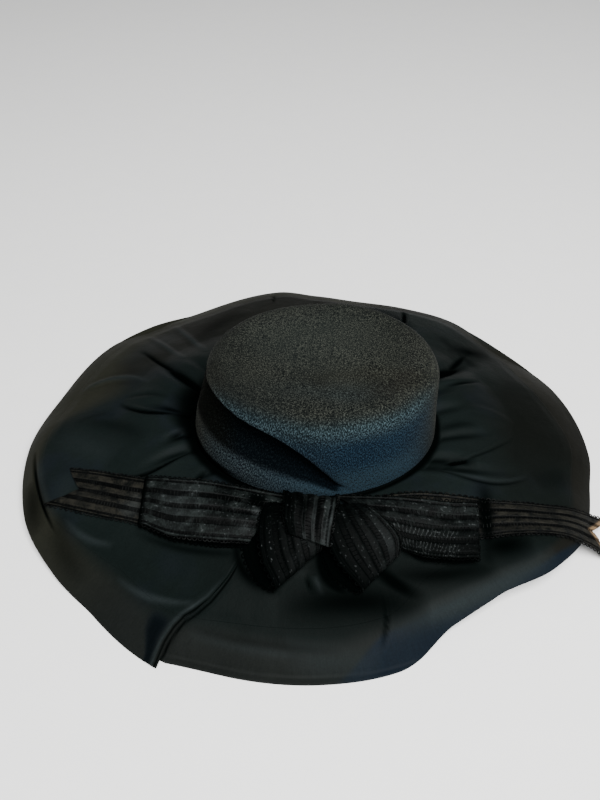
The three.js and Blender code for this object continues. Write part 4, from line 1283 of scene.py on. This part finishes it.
class Strip:
    """A ribbon strip: its rows, how far its end is notched, its pleats, a seed, how much painted
    shade lies on its two edges, between which shares of its length it lies under itself and is
    painted as in shade, from which share its near ribs are dashed and from which it is sheer, and
    how cold it looks."""

    def __init__(self, rows, notch=0.0, pleats=0, seed=1, edge_shade=(0.0, 0.0), hidden=(2.0, 3.0),
                 dashed=(2.0, 0.0), sheer=2.0, cold=1.0):
        self.rows = rows
        self.edge_shade = edge_shade
        self.hidden = hidden
        self.dashed = dashed
        self.sheer = sheer
        self.cold = cold
        self.notch = notch
        self.pleats = pleats
        self.seed = seed
        self.last = len(rows["high"]) - 1
        place = np.linspace(0, self.last, STEPS_PER_ROW * self.last + 1)
        line = self.middle(place, np.full_like(place, 0.5))
        steps = np.linalg.norm(np.diff(line, axis=0), axis=-1)
        self.way = np.concatenate([[0], np.cumsum(steps)])
        self.places = place
        self.length = self.way[-1]

    def place_at(self, share):
        """The place in the rows at a share of the strip's length."""
        return np.interp(share * self.length, self.way, self.places)

    def middle(self, place, across):
        """The middle surface: straight between the two edges, over the brim's own height,
        with waves for pleats and a slight waviness along its length."""
        turns = 2 * np.pi * self.pleats * across
        t = across + PLEAT["sway"] * np.sin(turns)
        x = mix(through_rows(self.rows, "fx", place), through_rows(self.rows, "nx", place), t)
        y = mix(through_rows(self.rows, "fy", place), through_rows(self.rows, "ny", place), t)
        high = through_rows(self.rows, "high", place)
        arch = np.sin(np.pi * place / self.last)
        fold = PLEAT["deep"] * np.cos(turns) * arch if self.pleats else 0
        wave = STRIP_WAVE["high"] * soft_noise(x, y, STRIP_WAVE["size"], self.seed) * arch
        return np.stack([x, y, brim_height_at(x, y) - SINK + high + fold + wave + RIBBON / 2], -1)

    def marks(self, share, across):
        """dark: painted shade on the strip, from its far edge to its near edge, and nearly black
        painted shade where it lies under itself. dash: where its ribs carry pale dashes. sheer:
        its see-through end."""
        start, end = self.hidden
        blur = STRIP_BLUR["hidden"]
        under = ease(share, start - blur, start) * (1 - ease(share, end, end + blur))
        first, nearer = self.dashed
        dash = ease(share, first - STRIP_BLUR["dash"], first) * (across > nearer)
        dark = np.maximum(mix(self.edge_shade[0], self.edge_shade[1], across), HIDDEN_SHADE * under)
        return {"dark": dark, "dash": dash, "cold": self.cold,
                "sheer": ease(share, self.sheer - STRIP_BLUR["sheer"], self.sheer)}

    def notched(self, share, across):
        """Shares of the length pulled back so that the end is cut to two points."""
        cut = self.notch * (1 - np.abs(2 * across - 1)) * share ** 2
        return share * (1 - cut / self.last)


print("ribs:", len(RIBS["start"]), "picots every", PICOT["pitch"], "mm")

# %% Making a strip with its bars and picots
LENGTH_STEP = 1.3
ACROSS_STEP = 2.0
LEAST_ROWS = 12
BURIED = (0.85, 0.95)
UNDERSIDE_SHADE = 0.9
ring_angles = np.linspace(0, 2 * np.pi, 6, endpoint=False)


def across_places():
    """Places across the ribbon, close together at the edges of the ribs."""
    even = np.arange(0, RIBBON_WIDTH + 0.1, ACROSS_STEP)
    edges = np.concatenate([RIBS["start"], RIBS["end"]])
    near = (edges[:, None] + np.array([-RIB_EDGE, 0, RIB_EDGE])[None, :]).ravel()
    clear = even[(np.abs(even[:, None] - edges[None, :]) > 2 * RIB_EDGE).all(1)]
    return np.unique(np.concatenate([clear, near, [0, RIBBON_WIDTH]])) / RIBBON_WIDTH


def tubes(path, side, up, thread):
    """Small tubes: path (n, k, 3), and two directions (n, k, 3) that span each section.
    A point is path + thread (cos a side + sin a up)."""
    cos = np.cos(ring_angles)[None, None, :, None]
    sin = np.sin(ring_angles)[None, None, :, None]
    rings = path[:, :, None] + thread * (cos * side[:, :, None] + sin * up[:, :, None])
    count, steps, sides = rings.shape[:3]
    n, i, j = np.meshgrid(np.arange(count), np.arange(steps - 1), np.arange(sides), indexing="ij")
    k = (j + 1) % sides
    first = (n * steps + i) * sides
    quads = np.stack([first + j, first + k, first + sides + k, first + sides + j], -1)
    return rings.reshape(-1, 3), quads.reshape(-1, 4)


def tube_caps(count, steps, sides):
    """Pairs of quads that close both ends of each six-sided tube."""
    first = np.arange(count)[:, None] * steps * sides
    start = first + np.array([0, 3, 2, 1, 0, 5, 4, 3])
    end = first + (steps - 1) * sides + np.array([0, 1, 2, 3, 0, 3, 4, 5])
    return np.concatenate([start.reshape(-1, 4), end.reshape(-1, 4)])


def unit(vectors):
    """Vectors brought to length 1."""
    return vectors / np.maximum(np.linalg.norm(vectors, axis=-1, keepdims=True), TINY)


def frame_on(strip, share, across):
    """Point, direction along, direction across and normal of a strip's middle surface."""
    small = 0.002
    point = strip.middle(strip.place_at(share), across)
    ahead = strip.middle(strip.place_at(np.minimum(share + small, 1)), across)
    behind = strip.middle(strip.place_at(np.maximum(share - small, 0)), across)
    beside = strip.middle(strip.place_at(share), across + small)
    along = unit(ahead - behind)
    aside = unit(beside - strip.middle(strip.place_at(share), across - small))
    normal = unit(np.cross(along, aside))
    return point, along, aside, normal


def thread_work(strip, rng):
    """Picots along both edges and bars across the open stripes, as one set of tubes."""
    points = []
    faces = []
    shades = []
    total = 0
    count = int(strip.length / PICOT["pitch"])
    share = (np.arange(count) + 0.5) / count
    bend = np.linspace(0, np.pi, PICOT["steps"])
    for edge in (0.0, 1.0):
        middle, along, aside, normal = frame_on(strip, share, np.full(count, edge))
        out = aside * (1 if edge else -1)
        lean = rng.uniform(-PICOT["lean"], PICOT["lean"], (count, 1, 1))
        size = PICOT["radius"] * rng.uniform(*PICOT["sizes"], (count, 1, 1))
        cos = np.cos(bend)[None, :, None]
        sin = np.sin(bend)[None, :, None]
        spoke = cos * along[:, None] + sin * (out[:, None] + lean * along[:, None])
        path = middle[:, None] + size * spoke
        up = np.broadcast_to(normal[:, None], path.shape)
        ring, quads = tubes(path, unit(spoke), up, PICOT["thread"])
        caps = tube_caps(count, len(bend), len(ring_angles))
        shades.append(strip.marks(share, edge)["dark"].repeat(len(ring) // count))
        points.append(ring)
        faces.append(np.concatenate([quads, caps]) + total)
        total += len(ring)
    count = int(strip.length / BAR["pitch"])
    share = (np.arange(count) + BAR["first"]) / count
    knots = np.arange(BAR["steps"])[None, :]
    for start, end in zip(RIBS["end"][:-1], RIBS["start"][1:]):
        stops = np.linspace(start - BAR["past"], end + BAR["past"], BAR["steps"]) / RIBBON_WIDTH
        lean = rng.uniform(-BAR["lean"], BAR["lean"], count)[:, None] / count
        at = strip.notched(share[:, None] + lean * knots, stops[None, :])
        at = np.clip(at, 0, 1)
        middle, along, aside, normal = frame_on(strip, at, np.broadcast_to(stops, at.shape))
        ring, quads = tubes(middle, along, normal, BAR["thread"])
        caps = tube_caps(count, BAR["steps"], len(ring_angles))
        dark = strip.marks(share, stops.mean())["dark"]
        shades.append(dark.repeat(len(ring) // count))
        points.append(ring)
        faces.append(np.concatenate([quads, caps]) + total)
        total += len(ring)
    return np.concatenate(points), np.concatenate(faces), np.concatenate(shades)


# Painted shade cast across the bow, charted as lines seen from above.
BOW_SHADE = table("x1 y1 x2 y2 x3 y3 dark half", [
    (134, -60, 133, -99, 131, -142, 1, 5.5), (-43, -88, -42, -96, -40, -106, 1, 7),
    (-66, -80, -65, -104, -62, -128, 0.65, 5), (-25, -112, -16, -124, -6, -134, 0.8, 3),
    (-13, -94, -12, -104, -10, -116, 0.7, 4), (-116, -84, -116, -98, -116, -112, 0.4, 4),
    (-129, -84, -128, -98, -127, -112, 0.35, 9), (-44, -98, -50, -112, -54, -128, 0.45, 8),
    (90, -100, 92, -108, 94, -116, 0.4, 6), (14, -124, 18, -140, 26, -156, 0.9, 4),
    (128, -112, 150, -114, 176, -112, 0.5, 4),
])
# Painted highlights across the bow, charted as lines seen from above.
BOW_HIGHLIGHTS = table("x1 y1 x2 y2 x3 y3 light half", [
    (3, -98, 2, -116, -1, -142, 0.45, 1.5), (15, -100, 13, -120, 8, -148, 0.5, 1.8),
    (-14, -142, -13, -147, -12, -152, 0.9, 2.2), (-8, -130, -6, -135, -4, -140, 0.7, 2),
    (-22, -153, -20, -157, -18, -161, 0.8, 2), (-44, -105, -41, -108, -38, -111, 0.9, 2),
    (-54, -116, -50, -119, -46, -123, 0.9, 2.4), (44, -122, 54, -132, 62, -136, 0.5, 4),
    (-112, -80, -100, -98, -88, -116, 0.3, 12), (-148, -96, -140, -93, -132, -84, 0.5, 5),
])


def make_ribbon(name, strip):
    """The ribbon strip and its thread work, and their flat size. Its marks are the strip's own,
    with the charted painted shade and painted highlights that lie across the bow."""
    count = max(LEAST_ROWS, int(strip.length / LENGTH_STEP))
    across = across_places()[None, :]
    share = np.linspace(0, 1, count)[:, None]
    place = strip.place_at(strip.notched(share, across))
    across = np.broadcast_to(across, place.shape)
    middle = strip.middle(place, across)
    normal = -normals_of(middle, False)
    half = mix(GROOVE, RIBBON, rib_profile(across))[..., None] / 2
    u = np.broadcast_to(share * strip.length, place.shape)
    uv = np.stack([u, across * RIBBON_WIDTH], -1)
    highest = np.unravel_index(np.argmax(middle[..., 2]), place.shape)
    if normal[highest][2] < 0:
        normal = -normal
    sheet = two_sided(middle + half * normal, middle - half * normal, uv, False)
    marks = {k: np.broadcast_to(v, place.shape).ravel()
             for k, v in strip.marks(share, across).items()}
    x = middle[..., 0].ravel()
    y = middle[..., 1].ravel()
    marks["dark"] = np.maximum(marks["dark"], strongest(BOW_SHADE, x, y))
    marks["pale"] = strongest(BOW_HIGHLIGHTS, x, y) * (1 - ease(marks["dark"], *BURIED))
    # The ribbon's underside is in painted shade.
    below = dict(marks, dark=np.maximum(marks["dark"], UNDERSIDE_SHADE))
    both = {k: np.concatenate([marks[k], below[k]]) for k in marks}
    ribbon = new_piece(name + "_ribbon", *sheet, ribbon_satin, "ribbon", name, marks=both)
    rng = np.random.default_rng(strip.seed)
    ring, quads, dark = thread_work(strip, rng)
    blank = np.zeros((len(quads), 4, 2))
    threads = new_piece(name + "_threads", ring, quads, blank, ribbon_thread, "ribbon",
                        marks={"dark": dark})
    area = area_of(middle, False)
    print(name, "length mm", round(strip.length), "area m2", round(area, 5))


# %% Ribbon finishes
IN_MM = (1000.0, 1000.0, 1.0)
RIB_BLUR = 0.3
RIB_THREAD = {"Scale": 0.5, "Distortion": 0.6, "Detail": 1.0}
RIB_DASHES = {"Scale": 0.11, "Distortion": 3.0, "Detail": 1.0}
RIB_PATCHES = (120.0, 3.0)
RIB_YARN = (1100.0, 380.0, 1.0)
RIB_SPECKS = (420.0, 420.0, 1.0)
DASH_TURN = (0.0, 0.0, 0.5)
YARN_NOISE = (1.0, 2.0, 0.6)
SATIN_STEP = {
    "glint": (0.41, 0.62), "patch": (0.5, 0.68, 0.0, 0.55), "spark": (0.74, 0.84),
    "dash": (0.72, 0.9), "broken": (0.42, 0.55), "rough": (0.3, 0.7, 0.42, 0.56),
    "shade": (0.3, 1.0),
}
SATIN_BUMP = (0.00015, 0.7)
SATIN_SHINE = {"Specular IOR Level": 0.045}


def satin(name):
    """Satin ribs on the cloth's own coordinates: pale brown-grey where the ribs are, nearly black
    in the open stripes, with a fine crosswise thread in the ribs, painted glints, painted
    highlights and painted shade."""
    f = Finish(name)
    place = f.place()
    cloth = f.place("UV")
    across = f.axis(cloth, "Y") * 1000
    step = SATIN_STEP
    rib = 0.0
    for start, end in zip(RIBS["start"], RIBS["end"]):
        rise = f.step(across, start - RIB_BLUR, start + RIB_BLUR)
        rib = rib + rise * f.step(across, end + RIB_BLUR, end - RIB_BLUR)
    twist = f.bands(f.scaled(cloth, IN_MM), RIB_THREAD)
    patches = f.noise(place, *RIB_PATCHES)
    fine = f.noise(f.scaled(cloth, RIB_YARN), *YARN_NOISE)
    glint = f.step(fine * 0.5 + patches * 0.5, *step["glint"])
    rib = rib + (1 - rib) * f.step(patches, *step["patch"]) * f.mark("cold")
    light = f.blend(glint, RIB_DARK, f.blend(f.mark("cold"), RIB_WARM, RIB_LIGHT))
    # Painted highlight from the pale mark.
    light = f.blend(f.mark("pale") * (0.6 + glint * 0.4), light, RIB_HIGHLIGHT)
    colour = f.blend(rib * (1 - f.mark("pale") * 0.4) + f.mark("pale") * 0.4, STRIPE_AND_SHADE_DARK, light)
    # Painted shade from the dark mark: the colour goes to near-black and the surface mixes
    # towards near-black.
    shade = f.mark("dark")
    seen = 1 - f.step(shade, *BURIED)
    colour = f.blend(shade, colour, STRIPE_AND_SHADE_DARK)
    # Painted glints: small bright sparks on the ribs of the cold strips.
    spark = f.noise(f.scaled(cloth, RIB_SPECKS), *YARN_NOISE)
    spark = f.step(spark + patches * 0.25, *step["spark"]) * rib * seen * f.mark("cold") * 0.6
    colour = f.blend(spark, colour, RIB_GLINT_AND_DASH)
    dash = f.bands(f.scaled(cloth, IN_MM, DASH_TURN), RIB_DASHES)
    dash = f.step(dash, *step["dash"]) * f.mark("dash") * rib
    colour = f.blend(dash * f.step(fine, *step["broken"]) * 0.5, colour, RIB_GLINT_AND_DASH)
    colour = f.blend(f.mark("sheer") * (0.35 + rib * 0.5), colour, SHEER_GOLD)
    relief = f.bump(twist * 0.5 + fine * 0.5, *SATIN_BUMP)
    roughness = f.step(patches, *step["rough"])
    return f.finish(colour, roughness, relief, SATIN_SHINE,
                    f.step(shade, *step["shade"]) * (1 - spark))


THREAD_DARK = (0.0002, 0.0003, 0.0004)
THREAD_LIGHT = (0.0060, 0.0066, 0.0062)
THREAD_NOISE = {"grain": (700.0, 2.0), "clouds": (90.0, 2.0)}
THREAD_STEP = (0.42, 0.62)
THREAD_BUMP = (0.0002, 0.6)
THREAD_ROUGH = 0.6
THREAD_SHINE = {"Specular IOR Level": 0.04}


def thread(name):
    """Fine twisted thread."""
    f = Finish(name)
    place = f.place()
    grain = f.noise(place, *THREAD_NOISE["grain"])
    clouds = f.noise(place, *THREAD_NOISE["clouds"])
    colour = f.blend(f.step(grain * 0.4 + clouds * 0.6, *THREAD_STEP), THREAD_DARK, THREAD_LIGHT)
    relief = f.bump(grain, *THREAD_BUMP)
    # The dark mark on the threads is painted shade.
    return f.finish(colour, THREAD_ROUGH, relief, THREAD_SHINE, f.mark("dark"))


RIB_DARK = (0.0016, 0.0021, 0.0020)
RIB_WARM = (0.0130, 0.0124, 0.0096)
RIB_LIGHT = (0.0104, 0.0136, 0.0128)
RIB_HIGHLIGHT = (0.0300, 0.0350, 0.0350)
# Black of the open stripes, also the colour of the painted shade.
STRIPE_AND_SHADE_DARK = (0.0002, 0.0004, 0.0004)
RIB_GLINT_AND_DASH = (0.0450, 0.0500, 0.0500)
SHEER_GOLD = (0.1500, 0.1000, 0.0560)
ribbon_satin = satin("ribbon_satin")
ribbon_thread = thread("ribbon_thread")
make_ribbon("tail_left", Strip(TAIL_LEFT, notch=0.6, seed=11, cold=0.0))
make_ribbon("tail_right", Strip(TAIL_RIGHT, notch=0.6, seed=12, sheer=0.975, cold=0.0))
make_ribbon("loop_left", Strip(LOOP_LEFT, seed=13, edge_shade=(0.15, 0.1), hidden=(-1.0, 0.47)))
make_ribbon("loop_right", Strip(LOOP_RIGHT, seed=14, edge_shade=(0.35, 0.72), hidden=(-1.0, 0.44),
                                dashed=(0.6, 0.52)))
make_ribbon("loop_front_left", Strip(LOOP_FRONT_LEFT, seed=15, edge_shade=(0.55, 0.85),
                                     hidden=(0.58, 2.0)))
make_ribbon("loop_front_right", Strip(LOOP_FRONT_RIGHT, seed=16, edge_shade=(0.45, 0.85),
                                      hidden=(0.56, 2.0)))
make_ribbon("bow_knot", Strip(KNOT, pleats=4, seed=17, edge_shade=(0.05, 0.85)))

# %% [markdown]
# ## The sheets of cloth
# The brim and its hem are rings cut from one width each.

# %% [markdown]
# ## Floor, light and camera
# The hat rests on a plain pale floor. One large soft lamp hangs above the front, a little to
# the right, and a pale world gives the rest. The camera looks down at 45 degrees.

# %% Floor
floor_mesh = bpy.data.meshes.new("floor")
FLOOR_HALF = 6.0
corners = [(-FLOOR_HALF, -FLOOR_HALF, 0), (FLOOR_HALF, -FLOOR_HALF, 0),
           (FLOOR_HALF, FLOOR_HALF, 0), (-FLOOR_HALF, FLOOR_HALF, 0)]
floor_mesh.from_pydata(corners, [], [(0, 1, 2, 3)])
floor = bpy.data.objects.new("floor", floor_mesh)
bpy.context.scene.collection.objects.link(floor)
PAPER_DARK = (0.88, 0.88, 0.87)
PAPER_LIGHT = (0.91, 0.91, 0.90)
PAPER_NOISE = (40.0, 2.0)
PAPER_BUMP = (0.0001, 0.1)
PAPER_ROUGH = 0.9
PAPER_SHINE = {"Specular IOR Level": 0.1}
paper = Finish("floor_paper")
speckle = paper.noise(paper.place(), *PAPER_NOISE)
paper.finish(paper.blend(speckle, PAPER_DARK, PAPER_LIGHT), PAPER_ROUGH,
             paper.bump(speckle, *PAPER_BUMP), PAPER_SHINE)
floor_mesh.materials.append(paper.material)

# %% Lights and camera
WORLD_LIGHT = 0.3
LENS = 36.0
CAMERA_SPOT = (-0.0088, -0.4715, 0.536)
CAMERA_TILT = 45.0


def soft_lamp(name, spot, aim, power, size):
    """A square lamp at a spot, turned towards a point."""
    lamp = bpy.data.lights.new(name, "AREA")
    lamp.energy = power
    lamp.shape = "SQUARE"
    lamp.size = size
    holder = bpy.data.objects.new(name, lamp)
    bpy.context.scene.collection.objects.link(holder)
    holder.location = spot
    direction = holder.location.copy()
    direction.x = aim[0] - spot[0]
    direction.y = aim[1] - spot[1]
    direction.z = aim[2] - spot[2]
    holder.rotation_euler = direction.to_track_quat("-Z", "Y").to_euler()


soft_lamp("key_lamp", spot=(0.3, -0.75, 1.5), aim=(0, 0, 0.05), power=80.0, size=1.1)
world = bpy.data.worlds.new("studio")
world.use_nodes = True
world.node_tree.nodes["Background"].inputs["Color"].default_value = (1, 1, 1, 1)
world.node_tree.nodes["Background"].inputs["Strength"].default_value = WORLD_LIGHT
bpy.context.scene.world = world
camera_data = bpy.data.cameras.new("camera")
camera_data.lens = LENS
camera_data.sensor_width = LENS
camera = bpy.data.objects.new("camera", camera_data)
camera.location = CAMERA_SPOT
camera.rotation_euler = (np.radians(CAMERA_TILT), 0, 0)
bpy.context.scene.collection.objects.link(camera)
bpy.context.scene.camera = camera
print("camera at", tuple(camera.location))
